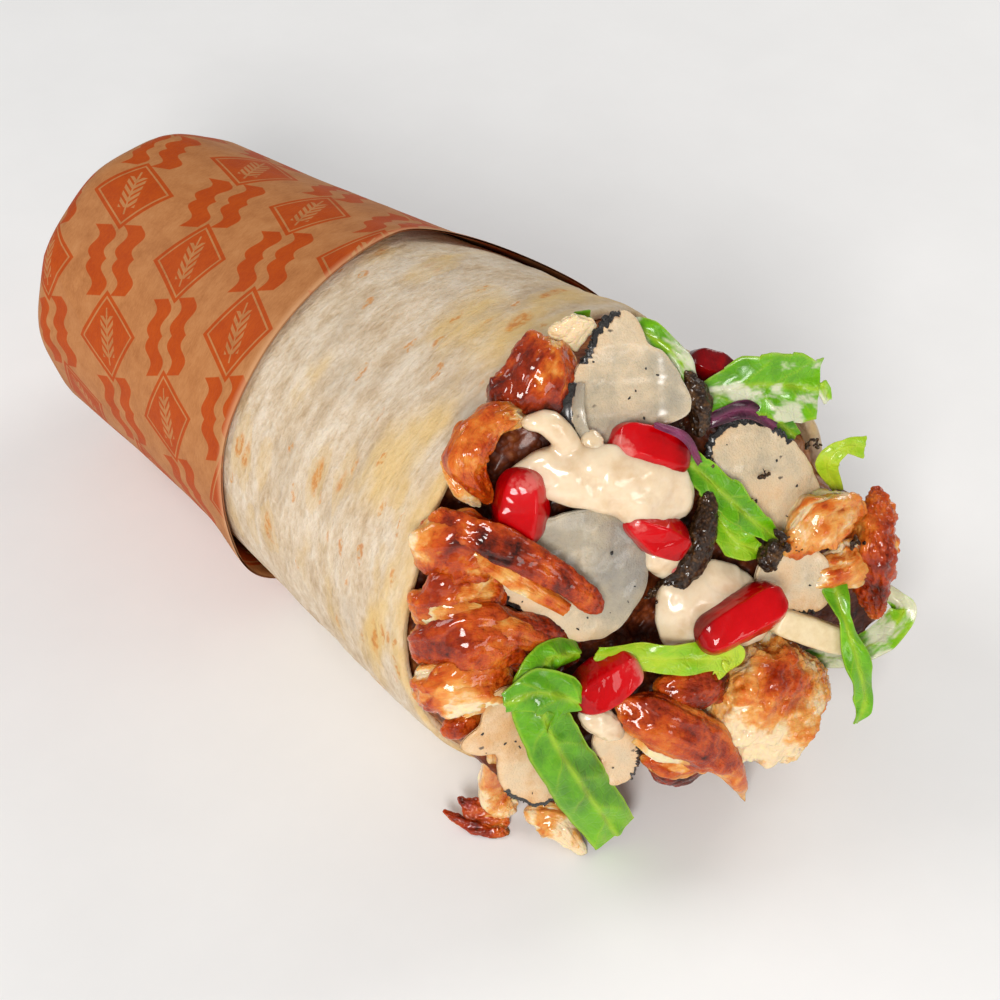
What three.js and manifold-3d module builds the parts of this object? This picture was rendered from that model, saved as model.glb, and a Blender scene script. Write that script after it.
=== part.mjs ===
// A filled, rolled flatbread lying on its side in a paper sleeve, its open end towards +X.
// Millimetres. The floor is z = 0. Angles round the roll are degrees from the top, and grow
// towards -Y, the side that is seen; 180 is the underside.

import * as THREE from 'three';
import { mergeVertices } from 'three/addons/utils/BufferGeometryUtils.js';
import Module from 'manifold-3d';

const wasm = await Module();
wasm.setup();

const DEGREE = Math.PI / 180;

// ---------------------------------------------------------------- driving dimensions: roll

const CLOSED_END_RADIUS = 25.7;
const MOUTH_RADIUS = 35.3;
const NEAR_RIM_X = 101.2; // distance from the closed end to the rim, on the seen side
const NEAR_RIM_ANGLE = 60;
const RIM_LEAD = 32; // the rim runs this far forward in one turn of the sheet
const END_ROUNDING = 6; // radius of the round edge at the closed end
const MOUTH_SAG = 3; // the roll flattens on the floor towards its open end
const LOW_SIDE_ANGLE = 130; // the low seen side is slimmer in the sleeve, fuller at the mouth
const LOW_SIDE_WIDTH = 34;
const LOW_SIDE_SLIM = 1;
const LOW_SIDE_BULGE = 1.1;
const LOW_SIDE_CHANGE_X = 40;
const LOW_SIDE_CHANGE_LENGTH = 55;

const BREAD_THICKNESS = 1.8;
const BREAD_PITCH = 2.4; // growth of the roll's radius in one turn
const BREAD_FIRST_ANGLE = 310; // the inner edge of the sheet, high on the back
const BREAD_TURN = 410;
const BREAD_START_X = 1.5;
const INNER_CORNER_CUT = 9; // the disc's edge curves back at both ends of the winding
const OUTER_CORNER_CUT = 9;
const CORNER_SPAN = 40;
const RIM_DIP = 1.4;
const RIM_DIP_ANGLE = 88;
const RIM_DIP_WIDTH = 22;
const RIM_FLARE = 1.9; // outwards, on the far side
const RIM_FLARE_ANGLE = 266;
const RIM_FLARE_WIDTH = 32;
const RIM_FLARE_X = 92;
const RIM_FLARE_LENGTH = 28;
const BREAD_UNEVENNESS = 0.35;

const SKIN_GAP = 0.32; // between bread, paper and filling
const PAPER_THICKNESS = 0.32;
const PAPER_EDGE_X = 57;
const PAPER_PEAK_RISE = 23; // the sheet's corner, which stands up on the back of the roll
const PAPER_PEAK_ANGLE = -66;
const PAPER_SEAM_ANGLE = -100;
const PAPER_SEAM_SPAN = 60;
const SLEEVE_FACETS = 11;
const END_REACH = 3.6; // the folded end stands this far beyond the bread
const END_TILT = 3; // and leans out further towards this angle
const END_TILT_ANGLE = -25;
const END_TILT_LENGTH = 30;
const END_PLEATS = 9;
const PLEAT_DEPTH = 1.2;

const PIECE_GAP = 0.35; // between pieces of the filling
const SMOOTHING = 0.08; // facets smaller than this are merged, well below the gap
const CORE_SMOOTHING = 0.19;

// ---------------------------------------------------------------- driving dimensions: face
// The filling swells out of the mouth as a slanting face. Its pieces are placed on it by
// [across, up, out]: mm to the right, mm up the slope, and mm out of the face.

const VIEW_AZIMUTH = 45;
const VIEW_ELEVATION = 44;
const FACE_TURN = 33; // from the roll's axis towards the viewer
const FACE_CENTRE = new THREE.Vector3(122, 0, 34);

const viewer = new THREE.Vector3(
  Math.sin(VIEW_AZIMUTH * DEGREE) * Math.cos(VIEW_ELEVATION * DEGREE),
  -Math.cos(VIEW_AZIMUTH * DEGREE) * Math.cos(VIEW_ELEVATION * DEGREE),
  Math.sin(VIEW_ELEVATION * DEGREE),
);
const rollAxis = new THREE.Vector3(1, 0, 0);
const faceHinge = rollAxis.clone().cross(viewer).normalize();
const faceOut = rollAxis.clone().applyAxisAngle(faceHinge, FACE_TURN * DEGREE);
const viewRight = new THREE.Vector3(Math.cos(VIEW_AZIMUTH * DEGREE), Math.sin(VIEW_AZIMUTH * DEGREE), 0);
const faceAcross = viewRight.addScaledVector(faceOut, -viewRight.dot(faceOut)).normalize();
const faceUp = faceOut.clone().cross(faceAcross);

function onFace([across, up, out]) {
  return FACE_CENTRE.clone()
    .addScaledVector(faceAcross, across)
    .addScaledVector(faceUp, up)
    .addScaledVector(faceOut, out);
}

// ---------------------------------------------------------------- small helpers

function clamp01(value) {
  return Math.min(1, Math.max(0, value));
}

function smoothStep(value) {
  const t = clamp01(value);
  return t * t * (3 - 2 * t);
}

function bell(offset, width) {
  return Math.exp(-((offset / width) ** 2));
}

// Reads a list of values spread evenly over 0..1, with straight lines between them.
function along(values, t) {
  const place = clamp01(t) * (values.length - 1);
  const first = Math.min(Math.floor(place), values.length - 2);
  if (values.length === 1) return values[0];
  return values[first] + (values[first + 1] - values[first]) * (place - first);
}

// Reads a closed list of values spread evenly round the circle, on a smooth curve.
function around(values, turn) {
  const count = values.length;
  const place = (turn - Math.floor(turn)) * count;
  const first = Math.floor(place) % count;
  const [a, b, c, d] = [-1, 0, 1, 2].map((step) => values[(first + step + count) % count]);
  const t = place - Math.floor(place);
  return b + 0.5 * t * (c - a + t * (2 * a - 5 * b + 4 * c - d + t * (3 * (b - c) + d - a)));
}

// A smooth uneven value between about -1 and 1, always the same for one seed and place.
function uneven(seed, x, y) {
  let sum = 0;
  for (let octave = 1; octave <= 3; octave += 1) {
    const phase = seed * 2.399 * octave;
    const wave = Math.sin(octave * x * 1.31 + phase) + Math.sin(octave * y * 1.73 - 1.7 * phase);
    sum += (wave + Math.sin(octave * (x - y) + 0.6 * phase)) / octave;
  }
  return sum / 4;
}

// ---------------------------------------------------------------- closed meshes

function signedVolume(geometry) {
  const position = geometry.getAttribute('position');
  const index = geometry.getIndex();
  const [a, b, c] = [new THREE.Vector3(), new THREE.Vector3(), new THREE.Vector3()];
  let volume = 0;
  for (let i = 0; i < index.count; i += 3) {
    a.fromBufferAttribute(position, index.getX(i));
    b.fromBufferAttribute(position, index.getX(i + 1));
    c.fromBufferAttribute(position, index.getX(i + 2));
    volume += a.dot(b.cross(c)) / 6;
  }
  return volume;
}

// Merges equal points, drops triangles without area and turns the faces outwards.
function sealed(geometry) {
  geometry.deleteAttribute('normal');
  geometry.deleteAttribute('uv');
  const merged = mergeVertices(geometry, 1e-4);
  const old = merged.getIndex().array;
  const kept = [];
  for (let i = 0; i < old.length; i += 3) {
    const [a, b, c] = [old[i], old[i + 1], old[i + 2]];
    if (a !== b && b !== c && c !== a) kept.push(a, b, c);
  }
  merged.setIndex(kept);
  if (signedVolume(merged) < 0) {
    for (let i = 0; i < kept.length; i += 3) [kept[i], kept[i + 1]] = [kept[i + 1], kept[i]];
    merged.setIndex(kept);
  }
  return merged;
}

// A thin body between two grids of points that are split into triangles alike. Rows are
// closed into a ring where `ring` is true, and a row shrunk to one point closes there.
function shell(rows, columns, ring, pointOf) {
  const rowCount = ring ? rows : rows + 1;
  const side = rowCount * (columns + 1);
  const positions = [];
  for (const face of [1, -1]) {
    for (let i = 0; i < rowCount; i += 1) {
      for (let j = 0; j <= columns; j += 1) {
        positions.push(...pointOf(i / rows, j / columns, face).toArray());
      }
    }
  }
  const at = (i, j, face) => (face > 0 ? 0 : side) + (i % rowCount) * (columns + 1) + j;
  const index = [];
  const quad = (a, b, c, d) => index.push(a, b, c, a, c, d);
  for (let i = 0; i < rows; i += 1) {
    for (let j = 0; j < columns; j += 1) {
      quad(at(i, j, 1), at(i + 1, j, 1), at(i + 1, j + 1, 1), at(i, j + 1, 1));
      index.push(at(i, j, -1), at(i + 1, j + 1, -1), at(i + 1, j, -1));
      index.push(at(i, j, -1), at(i, j + 1, -1), at(i + 1, j + 1, -1));
    }
    quad(at(i, 0, 1), at(i, 0, -1), at(i + 1, 0, -1), at(i + 1, 0, 1));
    quad(at(i, columns, 1), at(i + 1, columns, 1), at(i + 1, columns, -1), at(i, columns, -1));
  }
  if (!ring) {
    for (let j = 0; j < columns; j += 1) {
      quad(at(0, j, 1), at(0, j + 1, 1), at(0, j + 1, -1), at(0, j, -1));
      quad(at(rows, j, 1), at(rows, j, -1), at(rows, j + 1, -1), at(rows, j + 1, 1));
    }
  }
  const geometry = new THREE.BufferGeometry();
  geometry.setAttribute('position', new THREE.Float32BufferAttribute(positions, 3));
  geometry.setIndex(index);
  return sealed(geometry);
}

// A body of rings of points, whose first and last rings are each shrunk to one point.
function loft(sides, rings, pointOf) {
  const positions = [];
  for (let i = 0; i < sides; i += 1) {
    for (let j = 0; j <= rings; j += 1) positions.push(...pointOf(i / sides, j).toArray());
  }
  const at = (i, j) => (i % sides) * (rings + 1) + j;
  const index = [];
  for (let i = 0; i < sides; i += 1) {
    for (let j = 0; j < rings; j += 1) {
      index.push(at(i, j), at(i + 1, j), at(i + 1, j + 1));
      index.push(at(i, j), at(i + 1, j + 1), at(i, j + 1));
    }
  }
  const geometry = new THREE.BufferGeometry();
  geometry.setAttribute('position', new THREE.Float32BufferAttribute(positions, 3));
  geometry.setIndex(index);
  return sealed(geometry);
}

function toSolid(geometry) {
  return new wasm.Manifold(new wasm.Mesh({
    numProp: 3,
    vertProperties: new Float32Array(geometry.getAttribute('position').array),
    triVerts: new Uint32Array(geometry.getIndex().array),
  }));
}

// ---------------------------------------------------------------- the roll's own shape

function coneRadius(x) {
  return CLOSED_END_RADIUS + (MOUTH_RADIUS - CLOSED_END_RADIUS) * (x / NEAR_RIM_X);
}

function rollRadius(x) {
  const inEnd = clamp01((END_ROUNDING - x) / END_ROUNDING);
  return coneRadius(x) - END_ROUNDING * (1 - Math.sqrt(1 - inEnd * inEnd));
}

// How much the sheet's radius differs from the roll's nominal one at an angle.
function windingOffset(angle) {
  return -BREAD_PITCH * (angle - NEAR_RIM_ANGLE) / 360;
}

// The bread lies on the paper as far as the paper reaches, and on the floor at its rim.
function breadLift(x) {
  const onPaper = SKIN_GAP + PAPER_THICKNESS;
  return onPaper * (1 - smoothStep((x - PAPER_EDGE_X - 4) / 34));
}

function axisHeight(x) {
  return coneRadius(x) + breadLift(x) + windingOffset(180) - MOUTH_SAG * clamp01(x / NEAR_RIM_X);
}

// A point on a surface of the roll; none lies below `lowest`, which makes the flat underside.
function onRoll(x, angle, radius, lowest) {
  const turn = angle * DEGREE;
  const fromLowSide = angle - LOW_SIDE_ANGLE;
  const low = bell(fromLowSide, LOW_SIDE_WIDTH) + bell(fromLowSide + 360, LOW_SIDE_WIDTH);
  const change = clamp01((x - LOW_SIDE_CHANGE_X) / LOW_SIDE_CHANGE_LENGTH);
  const slim = LOW_SIDE_SLIM - (LOW_SIDE_SLIM + LOW_SIDE_BULGE) * change;
  const reach = radius - low * slim * Math.min(1, radius / CLOSED_END_RADIUS);
  const z = axisHeight(x) + reach * Math.cos(turn);
  return new THREE.Vector3(x, -reach * Math.sin(turn), Math.max(z, lowest));
}

function rimX(angle) {
  const wound = BREAD_FIRST_ANGLE - angle;
  const helix = NEAR_RIM_X + RIM_LEAD * (angle - NEAR_RIM_ANGLE) / 360;
  const innerCorner = INNER_CORNER_CUT * clamp01(1 - wound / CORNER_SPAN) ** 2;
  const outerCorner = OUTER_CORNER_CUT * clamp01((wound - BREAD_TURN) / CORNER_SPAN + 1) ** 2;
  const dip = RIM_DIP * bell(angle - RIM_DIP_ANGLE, RIM_DIP_WIDTH);
  return helix - innerCorner - outerCorner - dip + 0.5 * uneven(3, angle / 14, 0);
}

function flatbread(grow) {
  const rows = 46;
  const columns = 6;
  const pointOf = (u, v, face) => {
    const angle = BREAD_FIRST_ANGLE + grow - u * (BREAD_TURN + 2 * grow);
    const start = BREAD_START_X - grow;
    const x = start + v * (rimX(angle) + grow - start);
    const nearRim = smoothStep((x - RIM_FLARE_X) / RIM_FLARE_LENGTH);
    const flare = RIM_FLARE * bell(angle - RIM_FLARE_ANGLE, RIM_FLARE_WIDTH) * nearRim;
    const free = smoothStep((x - PAPER_EDGE_X) / 15);
    const relief = free * BREAD_UNEVENNESS * uneven(7, angle / 22, x / 9) + flare;
    const depth = face > 0 ? grow : -BREAD_THICKNESS - grow;
    const lowest = breadLift(x) - depth;
    return onRoll(x, angle, rollRadius(x) + windingOffset(angle) + relief + depth, lowest);
  };
  return shell(rows, columns, false, pointOf);
}

// The paper's inner surface follows the bread with a small gap. Where the outer edge of the
// bread ends on the back, it runs down again to the sheet below.
function paperRadius(angle) {
  const wrapped = angle - 360 * Math.floor((angle - PAPER_SEAM_ANGLE) / 360);
  const lower = windingOffset(PAPER_SEAM_ANGLE + 360 - PAPER_SEAM_SPAN);
  const upper = windingOffset(PAPER_SEAM_ANGLE);
  const inSeam = (wrapped - (PAPER_SEAM_ANGLE + 360 - PAPER_SEAM_SPAN)) / PAPER_SEAM_SPAN;
  if (inSeam > 0) return lower + (upper - lower) * smoothStep(inSeam);
  return windingOffset(wrapped);
}

function paperEdge(angle) {
  const back = Math.abs(angle - PAPER_PEAK_ANGLE);
  const rise = angle > PAPER_PEAK_ANGLE ? smoothStep(1.08 - back / 50) : smoothStep(1.08 - back / 80);
  const lowCorner = 1.5 * bell(angle - 124, 14);
  return PAPER_EDGE_X + PAPER_PEAK_RISE * rise + lowCorner + 0.5 * uneven(11, angle / 20, 1);
}

// The edge stands off the bread: a little all round, more on top and at the low corner.
function paperFlare(angle) {
  const top = 1.1 * bell(angle + 12, 22);
  const peak = 0.1 * bell(angle + 66, 30);
  const lowCorner = 1.3 * bell(angle - 117, 12);
  const free = 1 - bell(Math.abs(angle - 20) - 160, 34);
  return (0.25 + top + peak + lowCorner) * free;
}

const SLEEVE_ROWS = [0, 0.12, 0.3, 0.6, 1];
const ROUNDING_STEPS = 3;
const END_RINGS = 2;

function paperSleeve() {
  const rows = 36;
  const columns = SLEEVE_ROWS.length - 1 + ROUNDING_STEPS + END_RINGS;
  const pointOf = (u, v, face) => {
    const angle = 200 - 360 * u;
    const step = Math.round(v * columns);
    const outward = SKIN_GAP + (face > 0 ? PAPER_THICKNESS : 0);
    const lowest = face > 0 ? 0 : PAPER_THICKNESS;
    const wallStep = Math.min(step, SLEEVE_ROWS.length - 1);
    const edge = paperEdge(angle);
    const xOnWall = edge + (END_ROUNDING - edge) * SLEEVE_ROWS[wallStep];
    const flare = paperFlare(angle) * smoothStep(1 - (edge - xOnWall) / 13) ** 1.5;
    const facet = 0.7 * (1 - Math.cos(SLEEVE_FACETS * angle * DEGREE)) * smoothStep(1 - xOnWall / 26);
    const crumple = 0.5 + 0.5 * uneven(5, angle / 24, xOnWall / 13);
    const wallRadius = coneRadius(xOnWall) + paperRadius(angle) + outward + flare + crumple * 0.3;
    const lean = END_REACH + END_TILT * Math.cos((angle - END_TILT_ANGLE) * DEGREE);
    const leaning = (x) => x - lean * smoothStep(1 - x / END_TILT_LENGTH);
    if (step === wallStep) return onRoll(leaning(xOnWall), angle, wallRadius + facet * 0.4, lowest);

    const roundStep = Math.min(step - wallStep, ROUNDING_STEPS);
    const bend = 90 * DEGREE * roundStep / ROUNDING_STEPS;
    const endX = END_ROUNDING - (END_ROUNDING + outward) * Math.sin(bend);
    const flatRadius = wallRadius - END_ROUNDING;
    const radius = flatRadius + facet * 0.4 * Math.cos(bend) + END_ROUNDING * Math.cos(bend);
    if (step === wallStep + roundStep) return onRoll(leaning(endX), angle, radius, lowest);

    const inward = 1 - (step - wallStep - roundStep) / END_RINGS;
    const pleat = Math.abs(Math.sin((END_PLEATS / 2) * (angle * DEGREE + 1.1 * (1 - inward))));
    const relief = PLEAT_DEPTH * pleat * Math.abs(Math.sin(Math.PI * inward)) ** 0.5;
    const flatX = endX - END_REACH - (lean - END_REACH) * inward;
    return onRoll(flatX - relief, angle, flatRadius * inward, lowest);
  };
  return shell(rows, columns, true, pointOf);
}

// ---------------------------------------------------------------- the packed filling
// One body runs through the roll and ends in the slanting, lumpy face. The mounds carry the
// slices and the sauce: [across, up, height above the face's ground, spread].

const GROUND_OUT = -3.2;
const MOUNDS = [
  [-16, 6, 5.6, 9],
  [-9, 33, 4.6, 7],
  [-9, 21, 6.2, 8],
  [13, 17, 5.4, 9],
  [12, 1, 6.2, 9],
  [28, 5, 3.6, 8],
  [-24, -14, 3.2, 8],
  [-8, -17, 4, 8],
  [12, -17, 3, 9],
];

// The face sinks behind the rim on the far side, and stops short of the floor below.
const HOLLOWS = [
  [29, 19, 9, 9],
  [16, 32, 7, 7],
  [4, 38, 5, 7],
  [8, -36, 13, 13],
  [26, -26, 9, 10],
  [-35, 14, 3, 8],
];

function groundOut(across, up) {
  let height = 0;
  let depth = 0;
  for (const [a, b, rise, spread] of MOUNDS) {
    height = Math.max(height, rise * bell(Math.hypot(across - a, up - b), spread * 1.25));
  }
  for (const [a, b, fall, spread] of HOLLOWS) {
    depth = Math.max(depth, fall * bell(Math.hypot(across - a, up - b), spread * 1.25));
  }
  return GROUND_OUT + height - depth + 0.45 * uneven(17, across / 4, up / 4);
}

function innermostOffset(angle) {
  const wrapped = angle - 360 * Math.floor((angle - BREAD_FIRST_ANGLE + 360) / 360);
  const step = BREAD_PITCH * smoothStep(1 - (wrapped - BREAD_FIRST_ANGLE + 360) / 26);
  return windingOffset(wrapped) - step - BREAD_THICKNESS - SKIN_GAP;
}

const FILLING_BACK_RINGS = 2;
const FILLING_WALL_RINGS = 3;
const FILLING_FACE_RINGS = 6;

function packedFilling(grow) {
  const startX = BREAD_START_X + 0.4;
  const wallEnd = FILLING_BACK_RINGS + FILLING_WALL_RINGS;
  const pointOf = (u, j) => {
    const angle = 360 * u;
    const radiusAt = (x) => rollRadius(x) + innermostOffset(angle) + Math.min(grow, 0.1);
    const wallPoint = (x) => onRoll(x, angle, radiusAt(x), breadLift(x) + BREAD_THICKNESS + SKIN_GAP);
    if (j < FILLING_BACK_RINGS) {
      const backCentre = new THREE.Vector3(startX, 0, axisHeight(startX));
      return backCentre.lerp(wallPoint(startX), j / FILLING_BACK_RINGS);
    }
    let mouthX = NEAR_RIM_X;
    for (let pass = 0; pass < 8; pass += 1) {
      const offset = wallPoint(mouthX).sub(FACE_CENTRE);
      const out = groundOut(offset.dot(faceAcross), offset.dot(faceUp)) + grow;
      mouthX += (out - offset.dot(faceOut)) / faceOut.x;
    }
    if (j <= wallEnd) {
      return wallPoint(startX + (mouthX - startX) * (j - FILLING_BACK_RINGS) / FILLING_WALL_RINGS);
    }
    const rim = wallPoint(mouthX).sub(FACE_CENTRE);
    const outward = 1 - (j - wallEnd) / FILLING_FACE_RINGS;
    const [across, up] = [rim.dot(faceAcross) * outward, rim.dot(faceUp) * outward];
    return onFace([across, up, groundOut(across, up) + grow]);
  };
  return loft(32, wallEnd + FILLING_FACE_RINGS, pointOf);
}

// ---------------------------------------------------------------- kinds of filling pieces

// The frame of a piece at a place on its path: its width runs across the path, and its
// thickness points out of the face, tipped about the path by `turn` degrees.
function pathFrame(curve, t, turn) {
  const centre = curve.getPoint(t);
  const ahead = curve.getTangent(t);
  const out = faceOut.clone().addScaledVector(ahead, -faceOut.dot(ahead)).normalize();
  out.applyAxisAngle(ahead, turn * DEGREE);
  return { centre, out, wide: ahead.clone().cross(out) };
}

function pathCurve(path) {
  return new THREE.CatmullRomCurve3(path.map(onFace), false, 'catmullrom', 0.5);
}

// A chunk swept along a path, round or blunt at both ends, with a lumpy or facetted section.
function lump(spec, grow) {
  const { path, wide, thick, turn = [0], blunt = 3, crag = 0.12, facets = 0, seed = 1 } = spec;
  const { sides = 8, rings = 6, square = 0.85 } = spec;
  const curve = pathCurve(path);
  const pointOf = (u, j) => {
    const y = -Math.cos(Math.PI * j / rings);
    const t = (1 + y) / 2;
    const swell = j === 0 || j === rings ? 0 : Math.sqrt(1 - Math.abs(y) ** blunt);
    const round = 2 * Math.PI * u;
    const [c, s] = [Math.cos(round), Math.sin(round)];
    const facet = facets ? 1 - 0.09 * Math.cos(facets * round + seed) : 1;
    const rough = facet + crag * uneven(seed, 2.1 * c + 6 * t, 2.1 * s);
    const bulge = 1 + 1.6 * crag * uneven(seed + 5, 9 * t, 2);
    const x = Math.sign(c) * Math.abs(c) ** square * (along(wide, t) / 2) * rough * bulge + grow * c;
    const z = Math.sign(s) * Math.abs(s) ** square * (along(thick, t) / 2) * rough + grow * s;
    const { centre, out, wide: side } = pathFrame(curve, t, along(turn, t));
    centre.addScaledVector(curve.getTangent(t), grow * y);
    return centre.addScaledVector(side, x * swell).addScaledVector(out, z * swell);
  };
  return loft(sides, rings, pointOf);
}

// A thin strip along a path: a leaf, a shred or a shaving, cupped and rippled at its edges.
function strip(spec, grow) {
  const { path, wide, thick, turn = [0], cup = 0, ripple = 0, waves = 3, seed = 1 } = spec;
  const { steps = 9, lanes = 2 } = spec;
  const curve = pathCurve(path);
  const pointOf = (u, v, face) => {
    const { centre, out, wide: side } = pathFrame(curve, u, along(turn, u));
    const beyond = u === 0 ? -grow : u === 1 ? grow : 0;
    centre.addScaledVector(curve.getTangent(u), beyond);
    const x = 2 * v - 1;
    const half = along(wide, u) / 2 + grow;
    const lift = cup * x * x + ripple * x * Math.sin(2 * Math.PI * waves * u + seed + x);
    return centre.addScaledVector(side, x * half).addScaledVector(out, lift + face * (thick / 2 + grow));
  };
  return shell(steps, lanes, false, pointOf);
}

// A flat piece with an uneven outline, given by its reach from the middle in equal turns.
// It may slope, bend into a shallow dish and thin out towards its edge.
function slice(spec, grow) {
  const { centre, reach, slope = [0, 0], dish = 0, thick, dome = 0, ripple = 0.3, seed = 1 } = spec;
  const { sectors = 16, rings = 2 } = spec;
  const pointOf = (u, v, face) => {
    const turn = 2 * Math.PI * u;
    const radius = v * (around(reach, u) + grow);
    const [across, up] = [radius * Math.cos(turn), radius * Math.sin(turn)];
    const wave = ripple * uneven(seed, across / 3, up / 3) * v;
    const bed = slope[0] * across + slope[1] * up + dish * radius * radius / 100 + wave;
    const half = (thick / 2) * (face > 0 ? 1 - dome * v ** 3 : 1 - 0.5 * dome * v ** 3) + grow;
    return onFace([centre[0] + across, centre[1] + up, centre[2] + bed + face * half]);
  };
  return shell(sectors, rings, true, pointOf);
}

// ---------------------------------------------------------------- the pieces
// Thin slices with a rind.

const SLICE_THICKNESS = 1;
const SLICES = {
  slice_top: {
    centre: [-9, 34, 3],
    reach: [6.9, 5.8, 5.4, 8.9, 8.2, 7.1, 8.4, 10.6, 10.6, 8.5, 8, 9],
    slope: [0.16, -0.14],
    dish: 0.6,
    seed: 2,
  },
  slice_centre: {
    centre: [-17, 6, 5],
    reach: [10.7, 11.2, 10.6, 10.4, 11, 12.8, 11.5, 9.2, 8.6, 9.3, 10.1, 10.2],
    slope: [0.1, 0.06],
    dish: -0.9,
    seed: 4,
  },
  slice_right: {
    centre: [12.5, 17.5, 4],
    reach: [8.8, 7.2, 6.8, 8.2, 10.2, 11, 6.8, 5.2, 6, 7.8, 11.5, 12.4],
    slope: [-0.14, -0.05],
    dish: -0.8,
    seed: 6,
  },
  slice_low_right: {
    centre: [16.5, 2, 4.6],
    reach: [7.2, 6.4, 5.6, 5.4, 5.8, 6.3, 6, 5.2, 4.6, 5, 6.6, 8.3],
    slope: [-0.08, 0.02],
    seed: 8,
  },
  slice_front: {
    centre: [-25.5, -17.5, 3],
    reach: [5, 5.5, 7, 9.5, 10, 7, 8.2, 3.6, 4.8, 9.5, 13, 8],
    slope: [0.05, 0.3],
    seed: 10,
  },
  slice_small: {
    centre: [-10, -22, 3.2],
    reach: [3.9, 4, 4, 4.1, 5.4, 4.6, 2.8, 3, 4, 4.9, 5, 4.4],
    slope: [0, 0.1],
    seed: 12,
    sectors: 14,
    rings: 2,
  },
};

// Lettuce and red cabbage, thin strips and leaves, and one slice that is seen edge-on.

const LEAF_THICKNESS = 0.8;
const LEAVES = {
  lettuce_front: {
    path: [
      [-17, -4.5, 5.5], [-22.5, -4.2, 7], [-24.5, -8.5, 8.2],
      [-22, -16, 8], [-15.6, -26, 5.2], [-7.6, -37.2, -1.2],
    ],
    wide: [3.2, 4.6, 7.5, 9.2, 9.2, 7.2],
    cup: -0.9,
    ripple: 0.8,
    waves: 3.5,
    steps: 14,
    seed: 3,
  },
  lettuce_middle: {
    path: [[-15, -4.6, 6.5], [-8, -5.8, 7.4], [-0.5, -6.5, 8.6], [5.5, -7.2, 8.6], [3.5, -10, 7.8]],
    wide: [1.8, 3.4, 3.6, 3.2, 1],
    ripple: 0.4,
    seed: 5,
  },
  lettuce_top_right: {
    path: [[2, 29.8, 1], [8.6, 31.4, 4], [13.6, 31.4, 5], [19.4, 30.4, 5.6]],
    wide: [2.6, 9, 10.6, 9],
    cup: 1,
    ripple: 1.3,
    waves: 1.2,
    lanes: 4,
    steps: 6,
    seed: 7,
  },
  lettuce_behind_slice: {
    path: [[14.2, 26.4, 0.4], [18.6, 22.4, 1.4]],
    wide: [3, 3.6, 2],
    cup: 0.5,
    steps: 4,
    seed: 9,
  },
  lettuce_edge_top: {
    path: [[-8.3, 40.6, -0.6], [-5.2, 39.2, 0.6], [-1.2, 35.6, 3], [1.6, 30.5, 3.6]],
    wide: [2, 4.4, 3.4, 1.6],
    cup: -0.4,
    ripple: 0.5,
    seed: 11,
    steps: 9,
  },
  lettuce_under_rim: {
    path: [[-16.4, 40.6, -2.4], [-12.6, 42, -2.2]],
    wide: [1, 2.6, 1.4],
    steps: 4,
    seed: 13,
  },
  lettuce_curl: {
    path: [[29, 20.6, 3.6], [25.6, 21, 3.6], [23.4, 18.4, 2.6], [26.8, 13.4, 0.4]],
    wide: [3.4, 2.2, 3.6, 1.6],
    turn: [0, 20, 50],
    seed: 15,
    steps: 10,
  },
  lettuce_centre: {
    path: [[-1.4, 22.4, 4.4], [4.6, 16.6, 6.2], [9.6, 12, 6.4], [15.2, 8.2, 4.8]],
    wide: [4, 5.6, 4, 1.2],
    cup: 0.5,
    ripple: 0.4,
    seed: 17,
  },
  lettuce_centre_low: {
    path: [[3.4, 14.6, 4.4], [7, 9.4, 5.6], [12.6, 6.6, 5.6]],
    wide: [3.4, 5.2, 1],
    cup: 0.5,
    ripple: 0.3,
    steps: 8,
    seed: 19,
  },
  lettuce_strand_right: {
    path: [[23.9, 2.2, 4], [24.7, -4, 7], [26.7, -11, 8.2], [29.1, -17.6, 7], [28.9, -22, 5.6]],
    wide: [5.2, 2.2, 4.6, 3.4, 1.2],
    ripple: 0.5,
    turn: [10, -10, 10],
    steps: 15,
    seed: 21,
  },
  lettuce_loop_right: {
    path: [[22.5, -13, -0.6], [28.5, -12.6, 1], [34.6, -10.2, 2.2], [38.6, -6.4, 1.6], [36.6, -3.8, -0.8]],
    wide: [2.6, 3.8, 4.8, 4.2, 2.4],
    turn: [-35],
    ripple: 0.4,
    seed: 23,
  },
  cabbage_dark: {
    path: [[3.4, 26.8, 3.6], [8.6, 28.2, 4.4], [14, 25, 3.6]],
    wide: [2.2, 2.8, 1.2],
    steps: 7,
    lanes: 2,
    seed: 25,
  },
  cabbage_thread: {
    path: [[-7.4, 28.2, 8], [-2.8, 26, 8], [0.8, 21.4, 6]],
    wide: [0.9, 1.4, 0.9],
    steps: 7,
    lanes: 1,
    seed: 27,
  },
  slice_edge_on: {
    path: [[-17.2, 33.8, 3.6], [-18.2, 29.6, 4.6], [-16.4, 25, 4.8]],
    wide: [1.8, 3, 2.4],
    turn: [62],
    steps: 6,
    lanes: 2,
    seed: 29,
  },
};

// Pomegranate seeds, glassy and facetted.

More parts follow.
